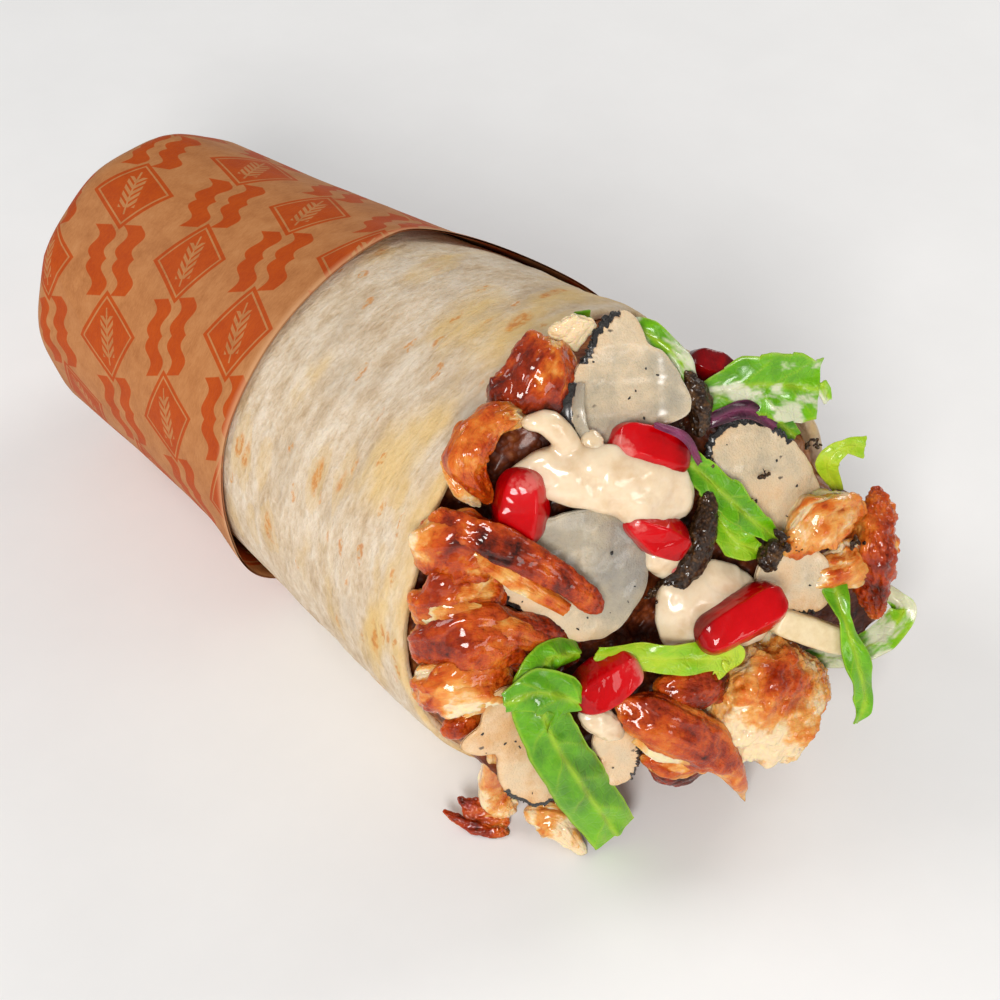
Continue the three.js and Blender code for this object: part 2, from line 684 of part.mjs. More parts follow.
const SEED_SHAPE = { blunt: 4, facets: 5, crag: 0.02, sides: 10, rings: 5 };
const SEEDS = {
  seed_top: { path: [[-12.8, 26, 5.6], [-1.2, 21.6, 5.8]], wide: [6.6, 7.8, 6.4], thick: [6, 7, 6] },
  seed_left: { path: [[-25.2, 23, 4.6], [-26, 11.8, 4]], wide: [6, 8.2, 7.4], thick: [6, 7, 6.4] },
  seed_centre: { path: [[-11.2, 15, 7.4], [-1.6, 9.6, 7]], wide: [3, 6.4, 5.6], thick: [4, 5.4, 5] },
  seed_front: { path: [[-18.4, -11.6, 6.6], [-8.6, -6.4, 6.8]], wide: [6.6, 8, 6.6], thick: [6, 7, 6] },
  seed_right: { path: [[-0.6, -4, 9.4], [13, 1.8, 9.4]], wide: [5.8, 7.2, 7], thick: [5.4, 6.6, 6.4] },
  seed_back: { path: [[2.4, 34.6, -1.6], [9.6, 31.2, -1.4]], wide: [4.6, 5.8, 4.6], thick: [4.6, 5.4, 4.6] },
};

// Sauce and the dark, grainy paste.

const SAUCE_CENTRE = [
  {
    path: [[-27, 22, 3], [-18.6, 21.6, 5], [-9, 19.2, 6.6], [0, 15.4, 5.6]],
    wide: [5, 8.4, 11.4, 9.5],
    thick: [3, 5, 5.4, 4.6],
    rings: 7,
    sides: 9,
    seed: 31,
  },
  {
    path: [[-25.6, 29.2, 4.4], [-21.6, 28.8, 5.2], [-17.6, 23.6, 5]],
    wide: [3.6, 3.8, 5.4],
    thick: [3, 3.2, 3.6],
    seed: 33,
  },
  {
    path: [[-5.6, 12.4, 5], [-1.8, 4.2, 3.6]],
    wide: [6, 7, 4.6],
    thick: [4, 4.2, 3.4],
    seed: 35,
  },
];

const SAUCE_RIGHT = {
  centre: [4.2, -1, 5],
  reach: [10, 7.5, 7, 7.6, 8, 9.2, 9.2, 8.6, 7, 5.8, 6.8, 10.2],
  thick: 5,
  dome: 0.8,
  ripple: 0.7,
  sectors: 14,
  rings: 3,
  seed: 37,
};

const SAUCE_FRONT = {
  path: [[-16.6, -14, 4.6], [-13, -16, 5], [-9.6, -18.4, 4.6]],
  wide: [3, 4.4, 2.6],
  thick: [2.6, 3, 2],
  seed: 39,
};

const PASTE = {
  paste_ribbon: {
    path: [[2.2, 17.2, 6], [1.2, 11, 6.6], [-0.6, 5.4, 5.4], [-5, 1.6, 3]],
    wide: [3.2, 4.4, 4, 2.6],
    thick: [2.6, 3.4, 3, 2.4],
    rings: 9,
    seed: 41,
  },
  paste_behind: {
    path: [[-0.5, 34.2, 3.4], [0.9, 30.2, 4.6], [1.2, 25, 4.4]],
    wide: [2.4, 3.8, 3],
    thick: [2.4, 3, 2.6],
    seed: 43,
  },
  paste_dot: {
    path: [[12.4, 9.4, 6.6], [12.2, 4.6, 6.4]],
    wide: [2.8, 3.6, 2.8],
    thick: [2.4, 3, 2.4],
    seed: 45,
  },
};

// Grilled meat: the browned strip first, then shavings and chunks from front to back.

const MEAT_SKIN = {
  path: [[-38, 17, 2.4], [-31.6, 14.4, 6.6], [-22.6, 8.8, 8], [-14.6, 2, 7.2]],
  wide: [3.4, 4.4, 4.6, 3.4],
  thick: [1.6, 2, 2.2, 1.6],
  rings: 10,
  seed: 51,
};

const MEAT = {
  meat_fold_front: {
    path: [[-11.6, -12.6, 5.4], [-4.5, -16.4, 7.2], [3, -21.4, 6.6], [8.2, -26.8, 4.8], [12.8, -34.2, 1]],
    wide: [6.4, 9.4, 8.2, 4.4, 2.2],
    thick: [3, 4.4, 4, 3, 1.8],
    rings: 9,
    seed: 53,
  },
  meat_chunk_big: {
    path: [[3.8, -17.8, 3], [13.4, -16.6, 4], [24.8, -15.6, 2]],
    wide: [12, 18.4, 17.4, 12.5],
    thick: [9, 12, 12, 9],
    crag: 0.13,
    rings: 9,
    sides: 12,
    seed: 55,
  },
  meat_chunk_mid: {
    path: [[-5, -12, 4.6], [1.6, -12.2, 5.4], [7, -12, 4.6]],
    wide: [4.6, 6, 5],
    thick: [4.6, 5.4, 5],
    seed: 57,
  },
  meat_curl_right: {
    path: [[16.2, 4.8, 3], [20.4, 10.4, 4.6], [28.6, 11.4, 4]],
    wide: [5, 8.4, 7.2],
    thick: [5, 6.4, 5.6],
    rings: 8,
    seed: 59,
  },
  meat_crisp_right: {
    path: [[32.4, 13.8, 2.4], [31.2, 4.8, 4], [33.4, -7, 2]],
    wide: [4.4, 6.2, 6.6, 4.4],
    thick: [5, 6.6, 5.6],
    crag: 0.18,
    rings: 8,
    seed: 61,
  },
  meat_pale_right: {
    path: [[19.4, 1.6, 2.4], [26.2, 2.6, 3.4], [31.6, 5.6, 3]],
    wide: [5, 6.6, 5],
    thick: [4.6, 5.4, 4.6],
    seed: 63,
  },
  meat_gold_front: {
    path: [[-6, -23, 3], [0.6, -24.4, 3.8], [6.6, -23.4, 3.4]],
    wide: [3.6, 5.4, 4.6],
    thick: [3.4, 4, 3.4],
    seed: 65,
  },
  meat_dark_under: {
    path: [[-3.6, -25.2, 0.4], [1.4, -27.6, -0.6], [7.4, -25.6, 0.4]],
    wide: [3.4, 5.2, 3.6],
    thick: [4, 5, 4],
    seed: 67,
  },
  meat_tail_front: {
    path: [[-21, -33, -5.8], [-17, -34, -4.4], [-15, -36.4, -3.6], [-12.2, -40.2, -2.4]],
    wide: [5, 6, 4.4, 2.2],
    thick: [3.4, 4, 3, 1.8],
    rings: 9,
    seed: 69,
  },
  meat_flake_left: {
    path: [[-27.4, -18.2, 0.6], [-24, -30, -9.6], [-20.6, -35, -9.6]],
    wide: [3.4, 5.4, 4.6],
    thick: [2.4, 3, 2.6],
    rings: 9,
    seed: 71,
  },
  meat_ridge_low: {
    path: [[-39.4, -9, -1.6], [-34, -7.6, 2.4], [-26.6, -8, 2.4]],
    wide: [5, 9, 7.4],
    thick: [4, 6.6, 5.4],
    crag: 0.14,
    rings: 8,
    sides: 10,
    seed: 73,
  },
  meat_ridge_main: {
    path: [[-39.6, -3.2, -1.4], [-33.4, -0.6, 3], [-25, -2.4, 3.2], [-15.4, -6.4, 1.6]],
    wide: [4.6, 8.6, 8, 4],
    thick: [4, 6.4, 6, 3.4],
    crag: 0.14,
    rings: 9,
    sides: 10,
    seed: 75,
  },
  meat_ridge_gold: {
    path: [[-39.4, 2, -1.4], [-35, 4.2, 2.2], [-27, 4.8, 2]],
    wide: [4.6, 7.4, 6.2],
    thick: [4, 5.6, 4.6],
    crag: 0.13,
    seed: 77,
  },
  meat_chunk_left: {
    path: [[-39.4, 11, -1], [-34.4, 12, 2.4], [-27.6, 9.4, 2]],
    wide: [5, 8.6, 7],
    thick: [4.6, 6.4, 5.4],
    crag: 0.13,
    seed: 79,
  },
  meat_curl_left: {
    path: [[-23.6, 29.6, 2.4], [-29.8, 29.6, 3.8], [-33.4, 24.8, 4.2], [-29.4, 18.2, 2]],
    wide: [4, 5, 5.2, 3.6],
    thick: [4, 5, 5.2, 3.6],
    rings: 9,
    seed: 81,
  },
  meat_chunk_top: {
    path: [[-16.6, 38.4, -0.6], [-21.6, 34.6, 1], [-27, 29, -0.4]],
    wide: [7, 10.4, 8.6],
    thick: [5.4, 7.4, 6],
    crag: 0.12,
    rings: 8,
    sides: 10,
    seed: 83,
  },
  meat_pale_top: {
    path: [[-19.8, 40.2, 0], [-13.2, 41, 1]],
    wide: [2.6, 4, 3],
    thick: [2.4, 3, 2.4],
    seed: 85,
  },
  meat_fibre: {
    path: [[-36.2, 24.4, 2], [-33.8, 20.8, 3.2], [-30.6, 17.4, 2]],
    wide: [1.4, 2.8, 1.8],
    thick: [1.4, 2, 1.4],
    seed: 87,
  },
  meat_crumb_low: {
    path: [[-35.2, -16.2, -1.4], [-29.2, -14.6, 0]],
    wide: [3, 3.8, 3],
    thick: [3, 3.6, 3],
    seed: 89,
  },
};

// A dark crisp scrap with two prongs, which lies in front on the floor.

const CRISP_PRONGS = [
  {
    path: [[-28.4, -32.8, -13.8], [-25.1, -35.4, -12.4], [-21.6, -37, -10.4]],
    wide: [1.8, 3.4, 3],
    thick: [1.6, 2.4, 2.2],
    seed: 91,
  },
  {
    path: [[-30.8, -34.6, -13.6], [-27.2, -36.8, -12.2], [-23.4, -38, -10.4], [-21.8, -37.4, -10.2]],
    wide: [1.6, 2.8, 3],
    thick: [1.6, 2.2, 2.2],
    seed: 93,
  },
];

// A squared stick of cheese.

const CHEESE_STICK = {
  path: [[13.8, -3.4, 5.4], [26.6, -9, 4.8]],
  wide: [4, 4.4, 4],
  thick: [3.4, 3.6, 3.4],
  blunt: 14,
  square: 0.35,
  crag: 0.03,
  sides: 8,
  rings: 4,
};

// ---------------------------------------------------------------- fitting the pieces together

const group = new THREE.Group();
const food = new THREE.Group();
group.add(food);
const placed = []; // what is already in its place, a little grown, to cut what comes later

function addMesh(name, geometry, colour, roughness) {
  geometry.computeVertexNormals();
  const material = new THREE.MeshStandardMaterial({ color: colour, roughness, metalness: 0 });
  const mesh = new THREE.Mesh(geometry, material);
  mesh.name = name;
  food.add(mesh);
}

function toGeometry(solid) {
  const mesh = solid.getMesh();
  const geometry = new THREE.BufferGeometry();
  geometry.setAttribute('position', new THREE.BufferAttribute(new Float32Array(mesh.vertProperties), 3));
  geometry.setIndex(new THREE.BufferAttribute(new Uint32Array(mesh.triVerts), 1));
  return geometry;
}

function boxesMeet(a, b) {
  return [0, 1, 2].every((axis) => a.min[axis] <= b.max[axis] && b.min[axis] <= a.max[axis]);
}

function largestBody(solid) {
  return solid.decompose().reduce((best, body) => (body.volume() > best.volume() ? body : best));
}

// Cuts a piece clear of all that was placed before it, keeps its main body and remembers it.
function place(name, solid, cutter, colour, roughness, smoothing = SMOOTHING) {
  let fitted = solid;
  for (const earlier of placed) {
    if (boxesMeet(fitted.boundingBox(), earlier.boundingBox())) fitted = fitted.subtract(earlier);
  }
  fitted = largestBody(largestBody(fitted).simplify(smoothing));
  placed.push(cutter);
  addMesh(name, toGeometry(fitted), colour, roughness);
}

function placeShape(name, make, spec, colour, roughness) {
  place(name, toSolid(make(spec, 0)), toSolid(make(spec, PIECE_GAP)), colour, roughness);
}

function placeJoined(name, lumps, colour, roughness) {
  const join = (grow) => lumps.map((spec) => toSolid(lump(spec, grow))).reduce((a, b) => a.add(b));
  place(name, join(0), join(PIECE_GAP), colour, roughness);
}

const KRAFT = 0xcf9468;
const BREAD = 0xdecdb2;
const SLICE = 0xd9c3a2;
const GREEN = 0x6fae1c;
const PURPLE = 0x5a1638;
const RUBY = 0xb3101c;
const CREAM = 0xecd9bd;
const CORE = 0xa8653a;
const NEARLY_BLACK = 0x2a1c14;
const BROWNED_SKIN = 0x8a2c12;
const GRILLED = 0xb56a30;
const CRISP = 0x7a3014;

// The floor: nothing reaches below it.
const FLOOR_SIZE = 600;
const FLOOR_DEPTH = 50;
const floorSlab = new THREE.BoxGeometry(FLOOR_SIZE, FLOOR_SIZE, FLOOR_DEPTH);
floorSlab.translate(NEAR_RIM_X, 0, -FLOOR_DEPTH / 2);
placed.push(toSolid(sealed(floorSlab)));

addMesh('paper_sleeve', paperSleeve(), KRAFT, 0.75);
addMesh('flatbread', flatbread(0), BREAD, 0.85);
placed.push(toSolid(flatbread(PIECE_GAP)));

for (const [name, spec] of Object.entries(SLICES)) {
  placeShape(name, slice, { thick: SLICE_THICKNESS, ...spec }, SLICE, 0.5);
}
for (const [name, spec] of Object.entries(LEAVES)) {
  const [kind] = name.split('_');
  const colour = { lettuce: GREEN, cabbage: PURPLE, slice: SLICE }[kind];
  placeShape(name, strip, { thick: LEAF_THICKNESS, ...spec }, colour, 0.4);
}
for (const [name, spec] of Object.entries(SEEDS)) {
  placeShape(name, lump, { ...SEED_SHAPE, ...spec }, RUBY, 0.12);
}
placeShape('cheese_stick', lump, CHEESE_STICK, CREAM, 0.5);
place('packed_filling', toSolid(packedFilling(0)), toSolid(packedFilling(PIECE_GAP)), CORE, 0.6, CORE_SMOOTHING);
for (const [name, spec] of Object.entries(PASTE)) {
  placeShape(name, lump, spec, NEARLY_BLACK, 0.3);
}
placeShape('meat_skin', lump, MEAT_SKIN, BROWNED_SKIN, 0.3);
placeJoined('sauce_centre', SAUCE_CENTRE, CREAM, 0.25);
placeShape('sauce_right', slice, SAUCE_RIGHT, CREAM, 0.25);
placeShape('sauce_front', lump, SAUCE_FRONT, CREAM, 0.25);
for (const [name, spec] of Object.entries(MEAT)) {
  placeShape(name, lump, spec, GRILLED, 0.4);
}
placeJoined('meat_crisp_front', CRISP_PRONGS, CRISP, 0.5);

// The origin is the middle of the object's box, on the floor.
const box = new THREE.Box3().setFromObject(food);
const middle = box.getCenter(new THREE.Vector3());
food.position.set(-middle.x, -middle.y, 0);

export default group;
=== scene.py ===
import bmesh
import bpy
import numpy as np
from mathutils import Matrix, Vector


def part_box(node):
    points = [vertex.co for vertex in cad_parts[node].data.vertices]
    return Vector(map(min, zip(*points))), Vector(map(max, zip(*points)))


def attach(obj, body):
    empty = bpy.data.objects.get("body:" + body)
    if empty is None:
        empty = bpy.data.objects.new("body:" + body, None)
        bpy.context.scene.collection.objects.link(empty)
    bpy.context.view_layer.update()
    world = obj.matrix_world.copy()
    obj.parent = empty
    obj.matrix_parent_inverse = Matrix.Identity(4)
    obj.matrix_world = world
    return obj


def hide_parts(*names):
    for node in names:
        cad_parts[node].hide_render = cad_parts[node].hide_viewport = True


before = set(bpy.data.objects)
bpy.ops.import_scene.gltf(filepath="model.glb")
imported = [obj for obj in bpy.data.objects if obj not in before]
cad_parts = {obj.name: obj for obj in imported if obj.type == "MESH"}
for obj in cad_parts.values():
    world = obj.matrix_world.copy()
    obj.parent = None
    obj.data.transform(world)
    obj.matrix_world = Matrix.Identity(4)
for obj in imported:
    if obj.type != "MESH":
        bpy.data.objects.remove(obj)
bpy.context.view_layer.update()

# A filled, rolled flatbread in a paper sleeve, lying on its side with its open end towards +X.
# Sizes are millimetres until a mesh is made. Angles round the roll are degrees from the top and
# grow towards -Y, the side that is seen. Pieces of the filling are placed on the slanting face
# of the mouth by [across, up, out].

MM = 0.001
DEGREE = np.pi / 180

# ---------------------------------------------------------------- driving dimensions: the roll

CLOSED_END_RADIUS = 25.7
MOUTH_RADIUS = 35.3
NEAR_RIM_X = 101.2
NEAR_RIM_ANGLE = 60
RIM_LEAD = 32
END_ROUNDING = 6
MOUTH_SAG = 3
LOW_SIDE_ANGLE = 130
LOW_SIDE_WIDTH = 34
LOW_SIDE_SLIM = 1
LOW_SIDE_BULGE = 1.1
LOW_SIDE_CHANGE_X = 40
LOW_SIDE_CHANGE_LENGTH = 55

BREAD_THICKNESS = 1.8
BREAD_PITCH = 2.4
BREAD_FIRST_ANGLE = 310
BREAD_TURN = 410
BREAD_START_X = 1.5
CORNER_CUT = 9
CORNER_SPAN = 40
RIM_DIP = 1.4
RIM_DIP_ANGLE = 88
RIM_DIP_WIDTH = 22
RIM_FLARE = 1.9
RIM_FLARE_ANGLE = 266
RIM_FLARE_WIDTH = 32
RIM_FLARE_X = 92
RIM_FLARE_LENGTH = 28
BREAD_UNEVENNESS = 0.35
BREAD_UNEVEN_ANGLE = 22
BREAD_UNEVEN_LENGTH = 9
BREAD_FREE_LENGTH = 15
RIM_UNEVENNESS = 0.5
RIM_UNEVEN_ANGLE = 14
LAP_STEP_SPAN = 26

SKIN_GAP = 0.32
PAPER_THICKNESS = 0.32
PAPER_EDGE_X = 57
PAPER_PEAK_RISE = 23
PAPER_PEAK_ANGLE = -66
PAPER_SEAM_ANGLE = -100
PAPER_SEAM_SPAN = 60
PAPER_PEAK_TOP = 1.08
PAPER_PEAK_NEAR_SPAN = 50
PAPER_PEAK_FAR_SPAN = 80
PAPER_TAB_RISE = 1.5
PAPER_TAB_ANGLE = 124
PAPER_TAB_WIDTH = 14
PAPER_UNEVENNESS = 0.5
PAPER_UNEVEN_ANGLE = 20
PAPER_FLARES = [(1.1, -12, 22), (0.1, -66, 30), (1.3, 117, 12)]
PAPER_FLARE_LEAST = 0.25
PRESSED_MIDDLE = 20
PRESSED_REACH = 160
PRESSED_WIDTH = 34
LIFT_FADE_GAP = 4
LIFT_FADE_LENGTH = 34
SLEEVE_FACETS = 11
END_REACH = 3.6
END_TILT = 3
END_TILT_ANGLE = -25
END_TILT_LENGTH = 30
END_PLEATS = 9
PLEAT_DEPTH = 1.2

# The photograph's direction of view, and the face of the filling.
VIEW_AZIMUTH = 45
VIEW_ELEVATION = 44
VIEW_DISTANCE = 297.5
VIEW_TARGET = np.array([86.6, 0, 29.4])
FACE_TURN = 33
FACE_CENTRE = np.array([122.0, 0.0, 34.0])

viewer = np.array([
    np.sin(VIEW_AZIMUTH * DEGREE) * np.cos(VIEW_ELEVATION * DEGREE),
    -np.cos(VIEW_AZIMUTH * DEGREE) * np.cos(VIEW_ELEVATION * DEGREE),
    np.sin(VIEW_ELEVATION * DEGREE),
])


def unit(vector):
    return vector / np.linalg.norm(vector, axis=-1, keepdims=True)


roll_axis = np.array([1.0, 0.0, 0.0])
face_hinge = unit(np.cross(roll_axis, viewer))
face_out = roll_axis * np.cos(FACE_TURN * DEGREE) + np.cross(face_hinge, roll_axis) * np.sin(FACE_TURN * DEGREE)
view_right = np.array([np.cos(VIEW_AZIMUTH * DEGREE), np.sin(VIEW_AZIMUTH * DEGREE), 0.0])
face_across = unit(view_right - face_out * (view_right @ face_out))
face_up = np.cross(face_out, face_across)


def on_face(across, up, out):
    across, up, out = (np.asarray(v, float)[..., None] for v in (across, up, out))
    return FACE_CENTRE + face_across * across + face_up * up + face_out * out


# ---------------------------------------------------------------- formulas for arrays and node trees

class Field:
    """A number that varies over a surface, in a node tree, so that a formula can be written as one."""

    def __init__(self, tree, socket):
        self.tree, self.socket = tree, socket

    def op(self, operation, *values):
        node = self.tree.nodes.new("ShaderNodeMath")
        node.operation = operation
        for place, value in enumerate(values):
            feed(self.tree, node.inputs[place], value)
        return Field(self.tree, node.outputs[0])

    def __add__(self, other): return self.op("ADD", self, other)
    def __radd__(self, other): return self.op("ADD", other, self)
    def __sub__(self, other): return self.op("SUBTRACT", self, other)
    def __rsub__(self, other): return self.op("SUBTRACT", other, self)
    def __mul__(self, other): return self.op("MULTIPLY", self, other)
    def __rmul__(self, other): return self.op("MULTIPLY", other, self)
    def __truediv__(self, other): return self.op("DIVIDE", self, other)
    def __rtruediv__(self, other): return self.op("DIVIDE", other, self)
    def __neg__(self): return self.op("MULTIPLY", self, -1.0)
    def __pow__(self, other): return self.op("POWER", self, other)


def feed(tree, socket, value):
    """Links a field to a socket, or sets a plain value on it."""
    if isinstance(value, Field):
        tree.links.new(value.socket, socket)
    else:
        socket.default_value = value


def either(operation, plain):
    """The same function for arrays and for fields."""
    def function(*values):
        for value in values:
            if isinstance(value, Field):
                return value.op(operation, *values)
        return plain(*values)
    return function


sin = either("SINE", np.sin)
cos = either("COSINE", np.cos)
exp = either("EXPONENT", np.exp)
root = either("SQRT", np.sqrt)
size_of = either("ABSOLUTE", np.abs)
floor = either("FLOOR", np.floor)
least = either("MINIMUM", np.minimum)
most = either("MAXIMUM", np.maximum)
above = either("GREATER_THAN", np.greater)


def clamp01(value):
    return least(most(value, 0.0), 1.0)


def smooth_step(value):
    t = clamp01(value)
    return t * t * (3 - 2 * t)


def bell(offset, width):
    t = offset / width
    return exp(-(t * t))


def uneven(seed, x, y):
    """A smooth uneven value between about -1 and 1, always the same for one seed and place."""
    total = 0.0
    for octave in (1, 2, 3):
        phase = seed * 2.399 * octave
        wave = sin(octave * 1.31 * x + phase) + sin(octave * 1.73 * y - 1.7 * phase)
        total = (wave + sin(octave * (x - y) + 0.6 * phase)) / octave + total
    return total / 4


def along(values, t):
    """Reads a list of values spread evenly from 0 to 1."""
    if len(values) == 1:
        return values[0] + 0 * t
    return np.interp(np.clip(t, 0, 1), np.linspace(0, 1, len(values)), values)


def around(values, turn):
    """Reads a closed list of values spread evenly round the circle, on a smooth curve."""
    values = np.asarray(values, float)
    count = len(values)
    place = (turn - np.floor(turn)) * count
    first = np.floor(place).astype(int) % count
    a, b, c, d = (values[(first + step) % count] for step in (-1, 0, 1, 2))
    t = place - np.floor(place)
    return b + 0.5 * t * (c - a + t * (2 * a - 5 * b + 4 * c - d + t * (3 * (b - c) + d - a)))


# ---------------------------------------------------------------- the roll's own shape

def cone_radius(x):
    return CLOSED_END_RADIUS + (MOUTH_RADIUS - CLOSED_END_RADIUS) * (x / NEAR_RIM_X)


def roll_radius(x):
    in_end = clamp01((END_ROUNDING - x) / END_ROUNDING)
    return cone_radius(x) - END_ROUNDING * (1 - root(1 - in_end * in_end))


def winding_offset(angle):
    return -BREAD_PITCH * (angle - NEAR_RIM_ANGLE) / 360


def bread_lift(x):
    fade = (x - PAPER_EDGE_X - LIFT_FADE_GAP) / LIFT_FADE_LENGTH
    return (SKIN_GAP + PAPER_THICKNESS) * (1 - smooth_step(fade))


def axis_height(x):
    return cone_radius(x) + bread_lift(x) + winding_offset(180) - MOUTH_SAG * clamp01(x / NEAR_RIM_X)


def on_roll(x, angle, radius, lowest):
    from_low = angle - LOW_SIDE_ANGLE
    low = bell(from_low, LOW_SIDE_WIDTH) + bell(from_low + 360, LOW_SIDE_WIDTH)
    change = clamp01((x - LOW_SIDE_CHANGE_X) / LOW_SIDE_CHANGE_LENGTH)
    slim = LOW_SIDE_SLIM - (LOW_SIDE_SLIM + LOW_SIDE_BULGE) * change
    reach = radius - low * slim * least(1.0, radius / CLOSED_END_RADIUS)
    z = most(axis_height(x) + reach * cos(angle * DEGREE), lowest)
    return x, -1.0 * reach * sin(angle * DEGREE), z


def rim_x(angle):
    wound = BREAD_FIRST_ANGLE - angle
    helix = NEAR_RIM_X + RIM_LEAD * (angle - NEAR_RIM_ANGLE) / 360
    inner = clamp01(1 - wound / CORNER_SPAN)
    outer = clamp01((wound - BREAD_TURN) / CORNER_SPAN + 1)
    dip = RIM_DIP * bell(angle - RIM_DIP_ANGLE, RIM_DIP_WIDTH)
    wave = RIM_UNEVENNESS * uneven(3, angle / RIM_UNEVEN_ANGLE, 0)
    return helix - CORNER_CUT * inner * inner - CORNER_CUT * outer * outer - dip + wave


def bread_point(x, angle, depth, wrinkle):
    """A point of the sheet, at a depth below its outer face (0) down to its inner face."""
    near_rim = smooth_step((x - RIM_FLARE_X) / RIM_FLARE_LENGTH)
    flare = RIM_FLARE * bell(angle - RIM_FLARE_ANGLE, RIM_FLARE_WIDTH) * near_rim
    free = smooth_step((x - PAPER_EDGE_X) / BREAD_FREE_LENGTH)
    swell = BREAD_UNEVENNESS * uneven(7, angle / BREAD_UNEVEN_ANGLE, x / BREAD_UNEVEN_LENGTH)
    relief = free * (swell + wrinkle) + flare
    radius = roll_radius(x) + winding_offset(angle) + relief - depth
    return on_roll(x, angle, radius, bread_lift(x) + depth)


def paper_radius(angle):
    wrapped = angle - 360 * np.floor((angle - PAPER_SEAM_ANGLE) / 360)
    seam_start = PAPER_SEAM_ANGLE + 360 - PAPER_SEAM_SPAN
    lower, upper = winding_offset(seam_start), winding_offset(PAPER_SEAM_ANGLE)
    in_seam = (wrapped - seam_start) / PAPER_SEAM_SPAN
    return np.where(in_seam > 0, lower + (upper - lower) * smooth_step(in_seam), winding_offset(wrapped))


def paper_edge(angle):
    back = np.abs(angle - PAPER_PEAK_ANGLE)
    span = np.where(angle > PAPER_PEAK_ANGLE, PAPER_PEAK_NEAR_SPAN, PAPER_PEAK_FAR_SPAN)
    rise = PAPER_PEAK_RISE * smooth_step(PAPER_PEAK_TOP - back / span)
    tab = PAPER_TAB_RISE * bell(angle - PAPER_TAB_ANGLE, PAPER_TAB_WIDTH)
    return PAPER_EDGE_X + rise + tab + PAPER_UNEVENNESS * uneven(11, angle / PAPER_UNEVEN_ANGLE, 1)


def paper_flare(angle):
    free = 1 - bell(np.abs(angle - PRESSED_MIDDLE) - PRESSED_REACH, PRESSED_WIDTH)
    return sum((rise * bell(angle - at, width) for rise, at, width in PAPER_FLARES), PAPER_FLARE_LEAST) * free


# Where the roll's own axis and closed end lie in the part's frame.
coarse_angle, coarse_reach = np.meshgrid(np.linspace(BREAD_FIRST_ANGLE, BREAD_FIRST_ANGLE - BREAD_TURN, 200),
                                         np.linspace(0, 1, 60))
coarse_x = BREAD_START_X + coarse_reach * (rim_x(coarse_angle) - BREAD_START_X)
bread_low, bread_high = (np.array(corner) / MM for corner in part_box("flatbread"))
coarse_y = bread_point(coarse_x, coarse_angle, 0, 0)[1]
ROLL_AT = np.array([
    bread_low[0] - BREAD_START_X,
    (bread_low[1] + bread_high[1] - coarse_y.min() - coarse_y.max()) / 2,
    0.0,
])


# ---------------------------------------------------------------- meshes

WELD_DISTANCE = 2e-7
FLOOR_GAP = 0.0002


def add_object(name, data):
    made = bpy.data.objects.new(name, data)
    bpy.context.scene.collection.objects.link(made)
    return made


def mark_points(mesh, key, values):
    """Keeps a number or a vector for each point of a mesh."""
    values = np.asarray(values, float)
    kind, part = ("FLOAT", "value") if values.ndim == 1 else ("FLOAT_VECTOR", "vector")
    mesh.attributes.new(key, kind, "POINT").data.foreach_set(part, values.ravel())


def smooth_outwards(mesh):
    """Turns the faces of a mesh outwards and shades it smooth."""
    mesh.calc_loop_triangles()
    points = np.empty(len(mesh.vertices) * 3)
    mesh.vertices.foreach_get("co", points)
    triangles = np.empty(len(mesh.loop_triangles) * 3, int)
    mesh.loop_triangles.foreach_get("vertices", triangles)
    a, b, c = (points.reshape(-1, 3)[triangles.reshape(-1, 3)[:, k]] for k in range(3))
    if np.einsum("ij,ij->i", a, np.cross(b, c)).sum() < 0:
        mesh.flip_normals()
    mesh.shade_smooth()


def new_mesh(name, faces, points, attributes):
    """A smooth mesh from points in the roll's own millimetres, with its faces turned outwards."""
    mesh = bpy.data.meshes.new(name)
    mesh.from_pydata(((points + ROLL_AT) * MM).tolist(), [], faces)
    mesh.update()
    for key, values in attributes.items():
        mark_points(mesh, key, values)
    smooth_outwards(mesh)
    return add_object(name, mesh)


def grid_faces(rows, columns, ring):
    """Quads of a grid of points, whose rows run round a ring where that is asked."""
    i, j = np.meshgrid(np.arange(rows), np.arange(columns), indexing="ij")
    row_count = rows if ring else rows + 1
    ahead = (i + 1) % row_count
    wide = columns + 1
    quads = np.stack([i * wide + j, ahead * wide + j, ahead * wide + j + 1, i * wide + j + 1], axis=-1)
    return quads.reshape(-1, 4)


def end_to_end(first, second):
    """Two groups of points with their attributes, one after the other."""
    return (np.concatenate([first[0], second[0]]),
            {key: np.concatenate([first[1][key], second[1][key]]) for key in first[1]})


def loft_piece(name, sides, rings, point_of):
    """A body of rings of points, closed by one point at each end."""
    turn, ring = np.meshgrid(np.arange(sides) / sides, np.arange(1, rings), indexing="ij")
    body = point_of(turn.ravel(), ring.ravel() / rings)
    ends = point_of(np.zeros(2), np.array([0.0, 1.0]))
    faces = grid_faces(sides, rings - 2, True).tolist()
    count = sides * (rings - 1)
    for side in range(sides):
        here, ahead = side * (rings - 1), (side + 1) % sides * (rings - 1)
        faces.append([here, count, ahead])
        faces.append([ahead + rings - 2, count + 1, here + rings - 2])
    return new_mesh(name, faces, *end_to_end(body, ends))


